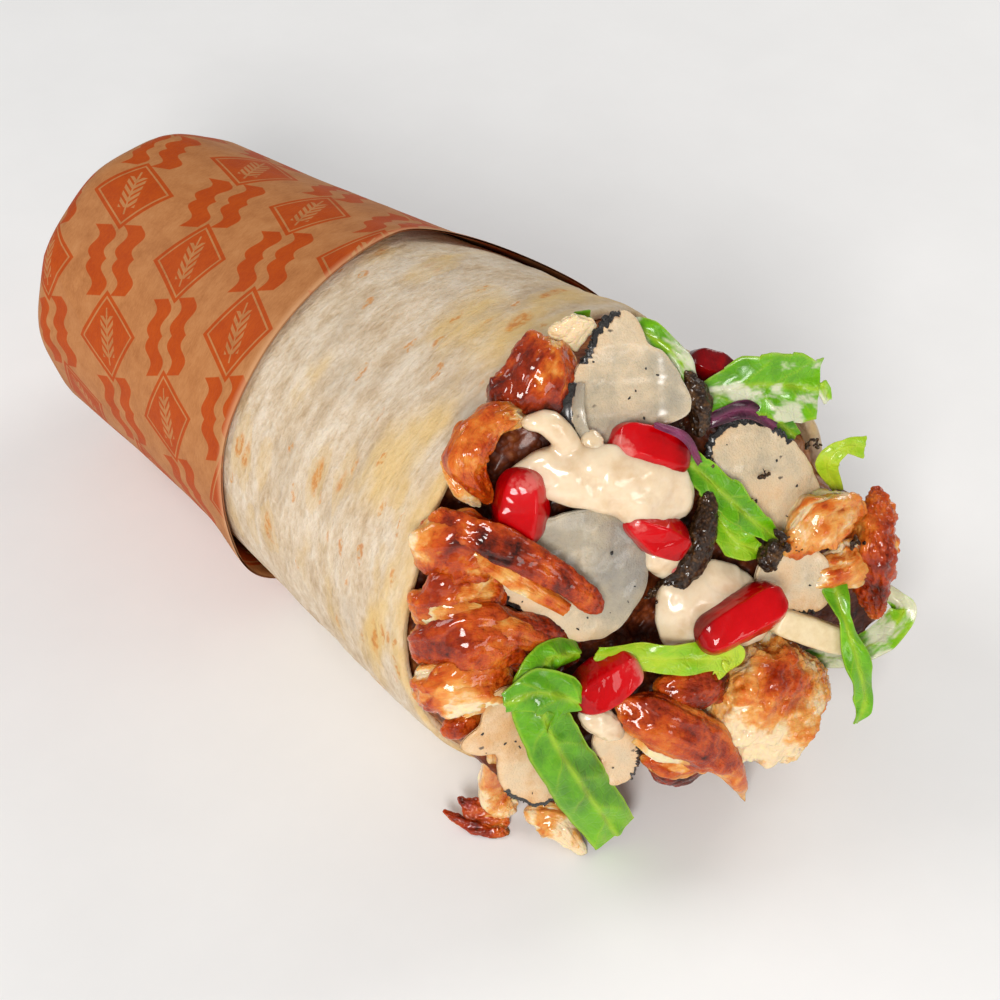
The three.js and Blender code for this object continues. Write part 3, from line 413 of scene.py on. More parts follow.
def shell_piece(name, rows, columns, ring, point_of):
    """A thin body between two grids of points. Rows run round a ring where that is asked."""
    row_count, wide = rows if ring else rows + 1, columns + 1
    u, v = np.meshgrid(np.arange(row_count) / rows, np.arange(wide) / columns, indexing="ij")
    front, back = (point_of(u.ravel(), v.ravel(), face) for face in (1, -1))
    count, last = row_count * wide, rows * wide
    edges = []
    for i in range(rows):
        here, ahead = i * wide, (i + 1) % row_count * wide
        if not ring:
            edges.append((ahead, here))
        edges.append((here + columns, ahead + columns))
    if not ring:
        for j in range(columns):
            edges += [(j, j + 1), (last + j + 1, last + j)]
    top = grid_faces(rows, columns, ring)
    faces = top.tolist() + (top[:, ::-1] + count).tolist() + [[b, a, a + count, b + count] for a, b in edges]
    piece = new_mesh(name, faces, *end_to_end(front, back))
    if ring:
        welded = bmesh.new()
        welded.from_mesh(piece.data)
        bmesh.ops.remove_doubles(welded, verts=welded.verts, dist=WELD_DISTANCE)
        welded.to_mesh(piece.data)
        welded.free()
    return piece


# ---------------------------------------------------------------- node trees

def add_node(tree, kind, inputs=None, **settings):
    node = tree.nodes.new(kind)
    for key, value in settings.items():
        setattr(node, key, value)
    for key, value in (inputs or {}).items():
        feed(tree, node.inputs[key], value)
    return node


def output(node, key=0):
    return Field(node.id_data, node.outputs[key])


def vector_of(tree, x, y, z):
    return output(add_node(tree, "ShaderNodeCombineXYZ", {0: x, 1: y, 2: z}))


def parts_of(vector):
    node = add_node(vector.tree, "ShaderNodeSeparateXYZ", {0: vector})
    return [output(node, axis) for axis in range(3)]


def stretched(vector, x, y, z):
    return output(add_node(vector.tree, "ShaderNodeVectorMath", {0: vector, 1: (x, y, z)}, operation="MULTIPLY"))


def noise(at, size, seed=0.0, detail=2.0, rough=0.5, twist=0.0):
    """Soft noise, mostly 0.3 to 0.7, in grains of about this size."""
    node = add_node(at.tree, "ShaderNodeTexNoise", {
        "Vector": at, "Scale": 1 / size, "Detail": detail, "Roughness": rough, "Distortion": twist,
        "W": seed * 3.7,
    }, noise_dimensions="4D")
    return output(node, 0)


def cells(at, size, key="Distance", feature="F1"):
    """Cells of about this size: the distance from their middles or edges, or a colour for each."""
    return output(add_node(at.tree, "ShaderNodeTexVoronoi", {"Vector": at, "Scale": 1 / size}, feature=feature), key)


def attribute(tree, key, kind="VECTOR"):
    if tree.type == "GEOMETRY":
        data_type = "FLOAT_VECTOR" if kind == "VECTOR" else "FLOAT"
        node = add_node(tree, "GeometryNodeInputNamedAttribute", {"Name": key}, data_type=data_type)
        return output(node, "Attribute")
    node = add_node(tree, "ShaderNodeAttribute", attribute_name=key)
    return output(node, "Vector" if kind == "VECTOR" else "Fac")


def add_inputs(tree, inputs):
    for key, value in inputs.items():
        tree.interface.new_socket(key, in_out="INPUT", socket_type="NodeSocketFloat").default_value = value


def geometry_tree(name, inputs, build):
    """A geometry tree with named inputs that ends in Realize Instances and Set Material."""
    tree = bpy.data.node_groups.new(name, "GeometryNodeTree")
    tree.interface.new_socket("Geometry", in_out="INPUT", socket_type="NodeSocketGeometry")
    add_inputs(tree, inputs)
    tree.interface.new_socket("Material", in_out="INPUT", socket_type="NodeSocketMaterial")
    tree.interface.new_socket("Geometry", in_out="OUTPUT", socket_type="NodeSocketGeometry")
    entry, leave = tree.nodes.new("NodeGroupInput"), tree.nodes.new("NodeGroupOutput")
    made = build(tree, output(entry, "Geometry"), {key: output(entry, key) for key in inputs})
    made = output(add_node(tree, "GeometryNodeRealizeInstances", {"Geometry": made}))
    dressed_in = {"Geometry": made, "Material": output(entry, "Material")}
    feed(tree, leave.inputs[0], output(add_node(tree, "GeometryNodeSetMaterial", dressed_in)))
    return tree


def moved(tree, geometry, **change):
    """Sets the Position or the Offset of a geometry's points."""
    return output(add_node(tree, "GeometryNodeSetPosition", {"Geometry": geometry, **change}))


def pushed_out(tree, geometry, millimetres):
    """Moves a geometry's points along their normals."""
    normal = output(add_node(tree, "GeometryNodeInputNormal"))
    offset = add_node(tree, "ShaderNodeVectorMath", {0: normal, 3: millimetres * MM}, operation="SCALE")
    return moved(tree, geometry, Offset=output(offset))


def stored(tree, geometry, key, value, data_type="FLOAT"):
    inputs = {"Geometry": geometry, "Name": key, "Value": value}
    return output(add_node(tree, "GeometryNodeStoreNamedAttribute", inputs, data_type=data_type))


def made_plain(piece):
    """Keeps what a piece's modifiers make as its own plain mesh, and removes the modifiers."""
    depsgraph = bpy.context.evaluated_depsgraph_get()
    mesh = bpy.data.meshes.new_from_object(piece.evaluated_get(depsgraph),
                                           preserve_all_data_layers=True, depsgraph=depsgraph)
    piece.modifiers.clear()
    old, piece.data = piece.data, mesh
    bpy.data.meshes.remove(old)
    mesh.name = piece.name
    smooth_outwards(mesh)
    return piece


def shaped_by(piece, tree, finish, **values):
    """Runs a geometry tree on a piece, with its own values for the tree's inputs."""
    modifier = piece.modifiers.new(tree.name, "NODES")
    modifier.node_group = tree
    for item in tree.interface.items_tree:
        key = item.name.replace(" ", "_")
        if item.in_out == "INPUT" and key in values:
            modifier[item.identifier] = float(values[key])
        if item.in_out == "INPUT" and key == "Material":
            modifier[item.identifier] = finish
    return made_plain(piece)


def placed(piece, slot, *nodes):
    """The piece belongs to the one body and stands for these solids, which are hidden. Its slot is not used."""
    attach(piece, "root")
    if nodes:
        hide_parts(*nodes)


def empty_piece(name):
    return add_object(name, bpy.data.meshes.new(name))


# ---------------------------------------------------------------- finishes: shared effects

def srgb(red, green, blue):
    def linear(value):
        value /= 255
        return value / 12.92 if value <= 0.04045 else ((value + 0.055) / 1.055) ** 2.4
    return (linear(red), linear(green), linear(blue), 1.0)


def ramp(value, stops):
    """A colour for each value, from a few places on the way and their colours on a screen."""
    node = add_node(value.tree, "ShaderNodeValToRGB", {0: value})
    line = node.color_ramp.elements
    while len(line) < len(stops):
        line.new(0.5)
    for element, (place, colour) in zip(line, stops.items()):
        element.position, element.color = place, srgb(*colour)
    return output(node)


def mixed(factor, a, b, blend="MIX"):
    """Mixes a colour with another, which is a field or a colour on a screen."""
    colour = b if isinstance(b, Field) else srgb(*b)
    node = add_node(factor.tree, "ShaderNodeMix", {0: factor, 6: a, 7: colour}, data_type="RGBA", blend_type=blend)
    return output(node, 2)


def effect(name, inputs, outputs, build):
    """A shader group with named inputs and outputs, built once."""
    tree = bpy.data.node_groups.new(name, "ShaderNodeTree")
    tree.interface.new_socket("Vector", in_out="INPUT", socket_type="NodeSocketVector")
    add_inputs(tree, inputs)
    for key in outputs:
        tree.interface.new_socket(key, in_out="OUTPUT", socket_type="NodeSocketFloat")
    entry, leave = tree.nodes.new("NodeGroupInput"), tree.nodes.new("NodeGroupOutput")
    results = build(output(entry, "Vector"), *(output(entry, key) for key in inputs))
    for key, value in zip(outputs, results):
        feed(tree, leave.inputs[key], value)
    return tree


def use(effect_tree, at, **values):
    """Places a shared effect in a material with its own values, and gives its outputs."""
    node = add_node(at.tree, "ShaderNodeGroup", node_tree=effect_tree)
    feed(at.tree, node.inputs["Vector"], at)
    for key, value in values.items():
        feed(at.tree, node.inputs[key.replace("_", " ")], value)
    results = [output(node, place) for place in range(len(node.outputs))]
    return results[0] if len(results) == 1 else results


blotches = effect("soft blotches", {"Size": 5.0, "Share": 0.4, "Softness": 0.1, "Seed": 0.0}, ["Mask"],
                  lambda at, size, share, soft, seed: [
                      smooth_step((noise(at, size, seed, 3.0, 0.55) - (1.0 - share)) / soft + 0.5)])

grain = effect("fine grain", {"Size": 0.4, "Seed": 0.0}, ["Height"],
               lambda at, size, seed: [noise(at, size, seed, 4.0, 0.6)])


PEBBLE_SLOPE = 0.734
PEBBLE_RISE = 0.051


def pebble_build(at, size, sharp):
    """Round pebbles that run into each other a little, as on a soft crust."""
    near = cells(at, size) * PEBBLE_SLOPE + PEBBLE_RISE
    return [clamp01(1.0 - near * sharp)]


pebbles = effect("pebbled crust", {"Size": 0.6, "Sharpness": 1.3}, ["Height"], pebble_build)


def fibre_build(at, width, length, seed):
    x, y, z = parts_of(at)
    along_fibre = vector_of(at.tree, x / length, y / width, z / width)
    strands = noise(along_fibre, 1.0, seed, 3.0, 0.6, 0.3)
    return [1.0 - smooth_step(size_of(strands - 0.5) * 9.0), strands]


fibres = effect("flesh fibres", {"Width": 0.6, "Length": 5.0, "Seed": 0.0}, ["Crease", "Strand"], fibre_build)


def speck_build(at, size, share, radius):
    near = cells(at, size)
    pick = parts_of(cells(at, size, "Color"))[0]
    return [smooth_step((radius - near) * 8.0) * above(share, pick)]


specks = effect("scattered specks", {"Size": 2.0, "Share": 0.3, "Radius": 0.3}, ["Mask"], speck_build)


class Finish:
    """One material with a Principled shader, whose constants sit on the shader's own sockets."""

    def __init__(self, name, **constants):
        self.material = bpy.data.materials.new(name)
        self.material.use_nodes = True
        self.tree = self.material.node_tree
        self.tree.nodes.clear()
        leave = self.tree.nodes.new("ShaderNodeOutputMaterial")
        self.shader = self.tree.nodes.new("ShaderNodeBsdfPrincipled")
        self.tree.links.new(self.shader.outputs[0], leave.inputs["Surface"])
        self.set(**constants)

    def set(self, **values):
        for key, value in values.items():
            feed(self.tree, self.shader.inputs[key.replace("_", " ")], value)

    def rest(self):
        """Coordinates that follow the piece, in millimetres."""
        return attribute(self.tree, "rest")

    def number(self, key):
        return attribute(self.tree, key, "FLOAT")

    def place(self):
        """Object coordinates in millimetres."""
        node = add_node(self.tree, "ShaderNodeTexCoord")
        return stretched(output(node, "Object"), 1 / MM, 1 / MM, 1 / MM)

    def bump(self, height, millimetres, strength):
        node = add_node(self.tree, "ShaderNodeBump", {
            "Height": height, "Strength": strength, "Distance": millimetres * MM})
        self.set(Normal=output(node))


# ---------------------------------------------------------------- finishes: paper and bread

PRINT_PITCH = 25.0
PRINT_ROW = 15.0
PRINT_TURN = 24 * DEGREE


LOZENGE_REACH = 7.4
LOZENGE_SQUEEZE = 1.05
FRAME_INSET = 1.1
FRAME_HALF_LINE = 0.22
GRAIN_LENGTH = 1.35
GRAIN_LEAN = 1.1
GRAIN_HALF_WIDTH = 0.30
EAR_HALF_WIDTH = 1.5
EAR_REACH = 3.3
STEM_HALF_LINE = 0.16
STEM_REACH = 4.6
BAR_HALF_WIDTH = 1.6
BAR_OFFSET = 2.7
BAR_REACH = 6.0
BAR_WAVE = 0.8
BAR_WAVE_TURN = 1.15
LINE_SHARPNESS = 3.0
INK_SHARPNESS = 7.0


def paper_print(at):
    """Staggered lozenges with an ear of grain inside, and pairs of wavy bars between them."""
    x, y, _ = parts_of(at)
    a = x * np.cos(PRINT_TURN) + y * np.sin(PRINT_TURN)
    b = y * np.cos(PRINT_TURN) - x * np.sin(PRINT_TURN)
    row = b / PRINT_ROW
    shift = floor(row) * 0.5
    column = a / PRINT_PITCH + (shift - floor(shift))
    p = (column - floor(column) - 0.5) * PRINT_PITCH
    q = (row - floor(row) - 0.5) * PRINT_ROW
    off_p, off_q = size_of(p), size_of(q)
    far = PRINT_PITCH / 2 - off_p
    lozenge = LOZENGE_REACH - off_p - off_q * LOZENGE_SQUEEZE
    outside_line = size_of(lozenge - FRAME_INSET) - FRAME_HALF_LINE
    grains = (p + off_q * GRAIN_LEAN) / GRAIN_LENGTH
    in_grain = GRAIN_HALF_WIDTH - size_of(grains - floor(grains) - 0.5)
    ear = least(in_grain, least(EAR_HALF_WIDTH - off_q, EAR_REACH - off_p) * 0.5)
    stem = least(STEM_HALF_LINE - off_q, STEM_REACH - off_p)
    inside = least(outside_line, least(-1.0 * ear, -1.0 * stem))
    wave = q + BAR_WAVE * sin(far * BAR_WAVE_TURN)
    bars = least(BAR_HALF_WIDTH - size_of(size_of(wave) - BAR_OFFSET), BAR_REACH - far)
    shape = most(least(lozenge, inside * LINE_SHARPNESS), bars)
    return clamp01(shape * INK_SHARPNESS + 0.5)


def paper_finish():
    made = Finish("printed kraft paper", Roughness=0.6, Specular_IOR_Level=0.16)
    rest = made.rest()
    mottle = use(grain, rest, Size=3.0, Seed=1.0)
    pulp = use(grain, stretched(rest, 1.0, 3.0, 1.0), Size=0.7, Seed=2.0)
    kraft = ramp(mottle * 0.6 + pulp * 0.4, {0.3: (160, 98, 52), 0.52: (182, 120, 70), 0.75: (196, 138, 88)})
    orange = ramp(pulp * 0.5 + mottle * 0.5, {0.3: (164, 56, 0), 0.6: (182, 72, 0)})
    printed = mixed(paper_print(rest) * 0.96, kraft, orange)
    # Painted highlight: a lighter band along the sheet's lit front edge, from the rim number.
    made.set(Base_Color=mixed(made.number("rim") * 0.55, printed, (222, 172, 126)))
    made.bump(pulp + mottle * 0.7, 0.12, 0.6)
    return made.material


def bread_finish():
    made = Finish("soft flatbread", Roughness=0.72, Specular_IOR_Level=0.35, Subsurface_Weight=0.12,
                  Subsurface_Scale=0.002, Subsurface_Radius=(1.0, 0.6, 0.35))
    rest, rim = made.rest(), made.number("rim")
    round_the_roll = stretched(rest, 0.45, 1.0, 1.0)
    flour = use(grain, round_the_roll, Size=2.6, Seed=3.0)
    fine = use(grain, stretched(rest, 0.6, 1.0, 1.0), Size=0.7, Seed=4.0)
    base = ramp(flour * 0.6 + fine * 0.4, {0.34: (182, 155, 122), 0.47: (206, 184, 155), 0.60: (223, 207, 185)})
    haze = use(blotches, round_the_roll, Size=8.0, Share=0.34 + rim * 0.17, Softness=0.2, Seed=5.0)
    base = mixed(haze * 0.66, base, (222, 186, 114))
    grey = use(blotches, round_the_roll, Size=5.0, Share=0.40, Softness=0.2, Seed=6.0)
    base = mixed(grey * 0.35, base, (176, 158, 136))
    leaning = vector_of(made.tree, *lean_and_squeeze(rest))
    spots = use(specks, leaning, Size=5.2, Share=0.30 + rim * 0.45, Radius=0.27)
    small = use(specks, leaning, Size=2.6, Share=0.12 + rim * 0.40, Radius=0.30)
    ragged = smooth_step((fine - 0.42) * 8.0)
    toast = clamp01(spots * (ragged * 0.6 + 0.4) + small * ragged * 0.9)
    halo = use(specks, leaning, Size=5.2, Share=0.30 + rim * 0.45, Radius=0.5)
    base = mixed(halo * 0.28, base, (214, 176, 104))
    base = mixed(toast * 0.82, base, ramp(fine, {0.4: (212, 148, 58), 0.65: (190, 112, 38)}))
    made.set(Base_Color=base)
    made.bump(flour * 1.3 + fine * 1.1 - toast * 0.15, 0.5, 0.7)
    return made.material


def lean_and_squeeze(rest):
    """Bread coordinates in which a round spot comes out long, round the roll and a little askew."""
    x, y, z = parts_of(rest)
    wander = noise(rest, 6.0, 8.0) * 3.0 + noise(rest, 1.1, 8.5) * 1.3
    return x * 0.42 + y * 0.16 + wander, y * 1.15 - x * 0.12 + wander, z * 0.0


# ---------------------------------------------------------------- finishes: the filling

def meat_finish(name, coat):
    """Grilled meat: its tone runs from pale flesh through golden glaze to dark browned crust."""
    made = Finish(name, Roughness=0.45, Specular_IOR_Level=0.1, Coat_Roughness=0.07, Coat_IOR=1.4, IOR=1.45,
                  Subsurface_Weight=0.35, Subsurface_Scale=0.003, Subsurface_Radius=(1.0, 0.3, 0.08))
    rest = made.rest()
    tone, valley, torn = (made.number(key) for key in ("tone", "valley", "torn"))
    crease, strand = use(fibres, rest, Width=0.9, Length=6.0, Seed=1.0)
    lumps = use(pebbles, rest, Size=0.75, Sharpness=1.25)
    patch = use(grain, rest, Size=4.4, Seed=2.0)
    fine = use(grain, rest, Size=0.35, Seed=3.0)
    value = tone + (patch - 0.5) * 1.7 + (strand - 0.5) * 0.16 + (fine - 0.5) * 0.12 - torn * 0.30
    charred = use(blotches, rest, Size=1.3, Share=0.28 + tone * 0.10, Softness=0.14, Seed=4.0) * (1.0 - torn)
    value = value + charred * 0.18
    colour = ramp(clamp01(value), {
        0.0: (236, 210, 168), 0.16: (226, 162, 84), 0.34: (210, 112, 32), 0.52: (190, 74, 9), 0.70: (150, 42, 2),
        0.88: (92, 21, 1), 1.0: (50, 10, 1)})
    # Painted shade: the low parts and step bottoms of the folds are multiplied towards a deep red-brown.
    colour = mixed(clamp01(valley * 0.7), colour, (150, 50, 14), "MULTIPLY")
    made.set(Base_Color=colour, Coat_Weight=clamp01(coat * (0.55 + patch)))
    pebbled = smooth_step((value - 0.30) * 3.0)
    made.bump(lumps * (pebbled * 0.9 + 0.1) + fine * 0.25 - crease * 0.15 + strand * 0.35, 0.55, 0.85)
    return made.material


# How far from the mouth's face the painted shade fades into the lighter wall colour.
WALL_FADE_START = 4.0
WALL_FADE = 7.0


def core_finish():
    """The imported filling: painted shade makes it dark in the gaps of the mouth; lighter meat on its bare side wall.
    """
    made = Finish("packed meat and sauce", Roughness=0.5, Specular_IOR_Level=0.2, Coat_Weight=0.2,
                  Coat_Roughness=0.15)
    at = made.place()
    patch = use(grain, at, Size=4.0, Seed=4.0)
    lumps = use(pebbles, at, Size=1.1, Sharpness=1.2)
    tone = patch + (lumps - 0.5) * 0.2
    painted_mouth_shade = ramp(tone, {0.3: (44, 14, 4), 0.48: (84, 32, 10), 0.62: (122, 56, 20), 0.78: (154, 90, 42)})
    on_wall = ramp(tone, {0.3: (112, 54, 22), 0.48: (158, 88, 40), 0.62: (190, 128, 74), 0.78: (218, 178, 130)})
    out_of_mouth = sum((part - float(middle)) * float(way) for part, middle, way in
                       zip(parts_of(at), FACE_CENTRE + ROLL_AT, face_out))
    # Painted shade: the face of the mouth takes the dark copy of the colour, the side wall the lighter one.
    colour = mixed(smooth_step((out_of_mouth + WALL_FADE_START) * (-1 / WALL_FADE)), painted_mouth_shade, on_wall)
    # Painted shade: the low parts of the folds are multiplied darker.
    made.set(Base_Color=mixed(made.number("valley") * 0.8, colour, (120, 60, 34), "MULTIPLY"))
    made.bump(lumps + patch, 0.6, 0.7)
    return made.material


def jittered(rest):
    """Coordinates a little out of true, so that a round speck comes out ragged."""
    x, y, z = parts_of(rest)
    return x + noise(rest, 0.5, 18.0) * 0.9, y * 1.6 + noise(rest, 0.4, 19.0) * 0.9, z


def slice_finish():
    made = Finish("pale cured slices", Roughness=0.42, Specular_IOR_Level=0.35, Coat_Weight=0.9, Coat_Roughness=0.24,
                  Subsurface_Weight=0.3, Subsurface_Scale=0.002, Subsurface_Radius=(1.0, 0.7, 0.45))
    rest, tone, rind = made.rest(), made.number("tone"), made.number("rind")
    patch = use(grain, rest, Size=5.0, Seed=5.0)
    fine = use(grain, rest, Size=0.3, Seed=6.0)
    wide_patch = use(grain, rest, Size=9.0, Seed=21.0)
    colour = ramp(tone + (patch - 0.5) * 0.8 + (wide_patch - 0.5) * 0.9 + (fine - 0.5) * 0.12, {
        0.0: (148, 142, 130), 0.25: (178, 166, 142), 0.45: (214, 193, 160), 0.65: (226, 194, 154),
        0.9: (212, 160, 100)})
    ragged = noise(rest, 0.9, 7.0, 3.0, 0.65)
    grimy = smooth_step((rind + (ragged - 0.5) * 1.5 - 0.34) * 9.0) * above(rind, 0.001)
    near_rind = use(blotches, rest, Size=2.4, Share=0.35 + rind * 0.4, Softness=0.2, Seed=7.0) * clamp01(rind * 2.0)
    colour = mixed(near_rind * 0.6, colour, (150, 98, 52))
    colour = mixed(grimy, colour, (24, 20, 18))
    flecks = use(specks, vector_of(made.tree, *jittered(rest)), Size=2.6, Share=0.14, Radius=0.2)
    made.set(Base_Color=mixed(flecks * 0.85, colour, (52, 38, 30)))
    made.bump(fine * 0.8 + patch * 1.6 + use(grain, rest, Size=0.7, Seed=24.0) * 0.5 + grimy * ragged * 3.0, 0.3, 0.8)
    return made.material


def leaf_finish(name, deep, light, rib, coat=0.5):
    """A leaf: its ribs and edges are paler, the blisters between the veins a deeper green."""
    made = Finish(name, Roughness=0.38, Specular_IOR_Level=0.2, Coat_Weight=coat, Coat_Roughness=0.14,
                  Subsurface_Weight=0.22, Subsurface_Scale=0.0012, Subsurface_Radius=(0.5, 1.0, 0.15))
    rest = made.rest()
    vein, edge, tone, smear = (made.number(key) for key in ("vein", "rim", "tone", "smear"))
    patch = use(grain, rest, Size=3.0, Seed=8.0)
    fine = use(grain, rest, Size=0.35, Seed=9.0)
    green = ramp(tone + (patch - 0.5) * 0.7 + (fine - 0.5) * 0.15, {0.1: deep, 0.5: light, 0.95: rib})
    small_veins = clamp01(1.0 - cells(rest, 1.6, feature="DISTANCE_TO_EDGE") * 9.0)
    pale = clamp01(vein * 0.4 + small_veins * 0.04 + smooth_step(edge * 6.0 - 5.0) * 0.3)
    film = use(blotches, stretched(rest, 0.5, 1.0, 1.0), Size=2.6, Share=0.22 + smear * 0.4, Softness=0.12, Seed=17.0)
    made.set(Base_Color=mixed(film * clamp01(smear * 3.0) * 0.9, mixed(pale, green, rib), (212, 210, 184)))
    made.bump(fine * 0.2 - small_veins * 0.16 + vein * 0.5 + patch * 1.3, 0.35, 0.8)
    return made.material


def seed_finish():
    made = Finish("glassy ruby seeds", Roughness=0.35, Specular_IOR_Level=0.04, Coat_Weight=0.7, Coat_Roughness=0.02,
                  Coat_IOR=1.4, Subsurface_Weight=0.4, Subsurface_Scale=0.003, Subsurface_Radius=(1.0, 0.06, 0.05))
    rest = made.rest()
    patch = use(grain, rest, Size=2.2, Seed=10.0)
    fine = use(grain, stretched(rest, 0.3, 1.0, 1.0), Size=0.8, Seed=11.0)
    # The tone number holds the lighter upper side that top_tone paints in: painted light.
    made.set(Base_Color=ramp(made.number("tone") * 0.94 + (patch - 0.5) * 0.5 + (fine - 0.5) * 0.15, {
        0.0: (64, 0, 4), 0.35: (124, 0, 6), 0.60: (184, 0, 6), 0.84: (200, 3, 13), 0.93: (200, 22, 28),
        1.0: (212, 104, 98)}))
    made.bump(patch + fine * 0.2, 0.25, 0.35)
    return made.material


def sauce_finish():
    made = Finish("cream sauce", Roughness=0.22, Specular_IOR_Level=0.5, Coat_Weight=0.5, Coat_Roughness=0.08,
                  Subsurface_Weight=0.4, Subsurface_Scale=0.003, Subsurface_Radius=(1.0, 0.75, 0.5))
    patch = use(grain, made.place(), Size=4.0, Seed=12.0)
    made.set(Base_Color=ramp(patch, {0.3: (214, 184, 146), 0.55: (230, 208, 176), 0.75: (236, 218, 190)}))
    made.bump(patch, 0.4, 0.3)
    return made.material


def paste_finish():
    made = Finish("dark grainy paste", Roughness=0.45, Specular_IOR_Level=0.15, Coat_Weight=0.5, Coat_Roughness=0.08)
    at = made.place()
    lumps = use(pebbles, at, Size=0.55, Sharpness=1.2)
    patch = use(grain, at, Size=1.6, Seed=14.0)
    made.set(Base_Color=ramp(patch * 0.7 + lumps * 0.3, {0.3: (20, 10, 3), 0.5: (48, 28, 12), 0.72: (104, 70, 34)}))
    made.bump(lumps + patch * 0.4, 0.35, 0.9)
    return made.material


def rind_finish():
    made = Finish("black rind", Roughness=0.42, Coat_Weight=0.25, Coat_Roughness=0.2)
    patch = use(grain, made.place(), Size=0.8, Seed=15.0)
    made.set(Base_Color=ramp(patch, {0.35: (12, 10, 9), 0.6: (26, 22, 20), 0.8: (64, 54, 46)}))
    made.bump(patch, 0.3, 0.8)
    return made.material


def cheese_finish():
    made = Finish("cut cheese", Roughness=0.42, Coat_Weight=0.15, Coat_Roughness=0.3,
                  Subsurface_Weight=0.3, Subsurface_Scale=0.002, Subsurface_Radius=(1.0, 0.8, 0.5))
    at = made.place()
    patch = use(grain, at, Size=1.6, Seed=16.0)
    pores = use(specks, at, Size=1.5, Share=0.3, Radius=0.12)
    colour = ramp(patch, {0.3: (216, 192, 144), 0.7: (234, 216, 178)})
    made.set(Base_Color=mixed(pores * 0.4, colour, (190, 160, 116)))
    made.bump(patch * 0.5 - pores, 0.25, 0.7)
    return made.material


PAPER = paper_finish()
BREAD = bread_finish()
MEAT_GLAZED = meat_finish("grilled meat", coat=0.95)
MEAT_BROWNED = meat_finish("browned meat", coat=0.9)
CORE = core_finish()
SLICE = slice_finish()
LETTUCE = leaf_finish("lettuce", (44, 108, 0), (108, 176, 0), (190, 206, 50), coat=0.45)
CABBAGE = leaf_finish("red cabbage", (26, 4, 16), (66, 14, 42), (150, 60, 104))
SEED = seed_finish()
SAUCE = sauce_finish()
PASTE_FINISH = paste_finish()
RIND = rind_finish()
CHEESE = cheese_finish()


# ---------------------------------------------------------------- geometry trees

BREAD_ROWS = 380
BREAD_LANES = 116
ARC_RADIUS = 30.0
BREAD_END_CROWDING = 0.35
BREAD_RIM_CROWDING = 1.6
BREAD_TOAST_WIDTH = 15.0


def place_in(tree):
    return output(add_node(tree, "GeometryNodeInputPosition"))


def flatbread_build(tree, _, size):
    """The sheet wound into a cone: both of its faces, closed and rounded at its edge."""
    grid = add_node(tree, "GeometryNodeMeshGrid", {
        "Size X": 1.0, "Size Y": 1.0, "Vertices X": BREAD_ROWS, "Vertices Y": 2 * BREAD_LANES + 1})
    u, s, _ = parts_of(place_in(tree))
    u, s = u + 0.5, s + 0.5
    wound = size["Turn"] * (u - BREAD_END_CROWDING * sin(u * 2 * np.pi) / (2 * np.pi))
    angle = size["First Angle"] - wound
    outer = above(0.5, s) * 2.0 - 1.0
    t = 1.0 - size_of(s * 2.0 - 1.0)
    rim = rim_x(angle)
    x = BREAD_START_X + (rim - BREAD_START_X) * (1.0 - (1.0 - t) ** BREAD_RIM_CROWDING)
    arc = angle * (DEGREE * ARC_RADIUS)
    half = size["Thickness"] / 2
    from_edge = least(rim - x, x - BREAD_START_X)
    from_end = least(wound, size["Turn"] - wound) * (DEGREE * ARC_RADIUS)
    short = 1.0 - clamp01(from_edge / half)
    short_end = 1.0 - clamp01(from_end / half)
    pinch = root(clamp01(1.0 - short * short) * clamp01(1.0 - short_end * short_end))
    surface = vector_of(tree, arc * 0.45, x, 0.0)
    wrinkle = (noise(surface, size["Wrinkle Size"], 1.0, 2.0) - 0.5) * size["Wrinkle Height"] \
        + (noise(surface, size["Wrinkle Size"] * 0.36, 2.0, 2.0) - 0.5) * (size["Wrinkle Height"] * 0.4)
    x, y, z = bread_point(x, angle, half - half * pinch * outer, wrinkle)
    sheet = stored(tree, output(grid), "rest", vector_of(tree, arc, x, outer), "FLOAT_VECTOR")
    sheet = stored(tree, sheet, "rim", bell(rim - x, BREAD_TOAST_WIDTH))
    sheet = moved(tree, sheet, Position=vector_of(tree, (x + ROLL_AT[0]) * MM, (y + ROLL_AT[1]) * MM, z * MM))
    return output(add_node(tree, "GeometryNodeMergeByDistance", {"Geometry": sheet, "Distance": 1e-6}))


rolled_flatbread = geometry_tree("rolled flatbread", {
    "First Angle": BREAD_FIRST_ANGLE, "Turn": BREAD_TURN, "Thickness": BREAD_THICKNESS,
    "Wrinkle Size": 5.0, "Wrinkle Height": 0.9,
}, flatbread_build)


FOLD_LAYERS = 7.0


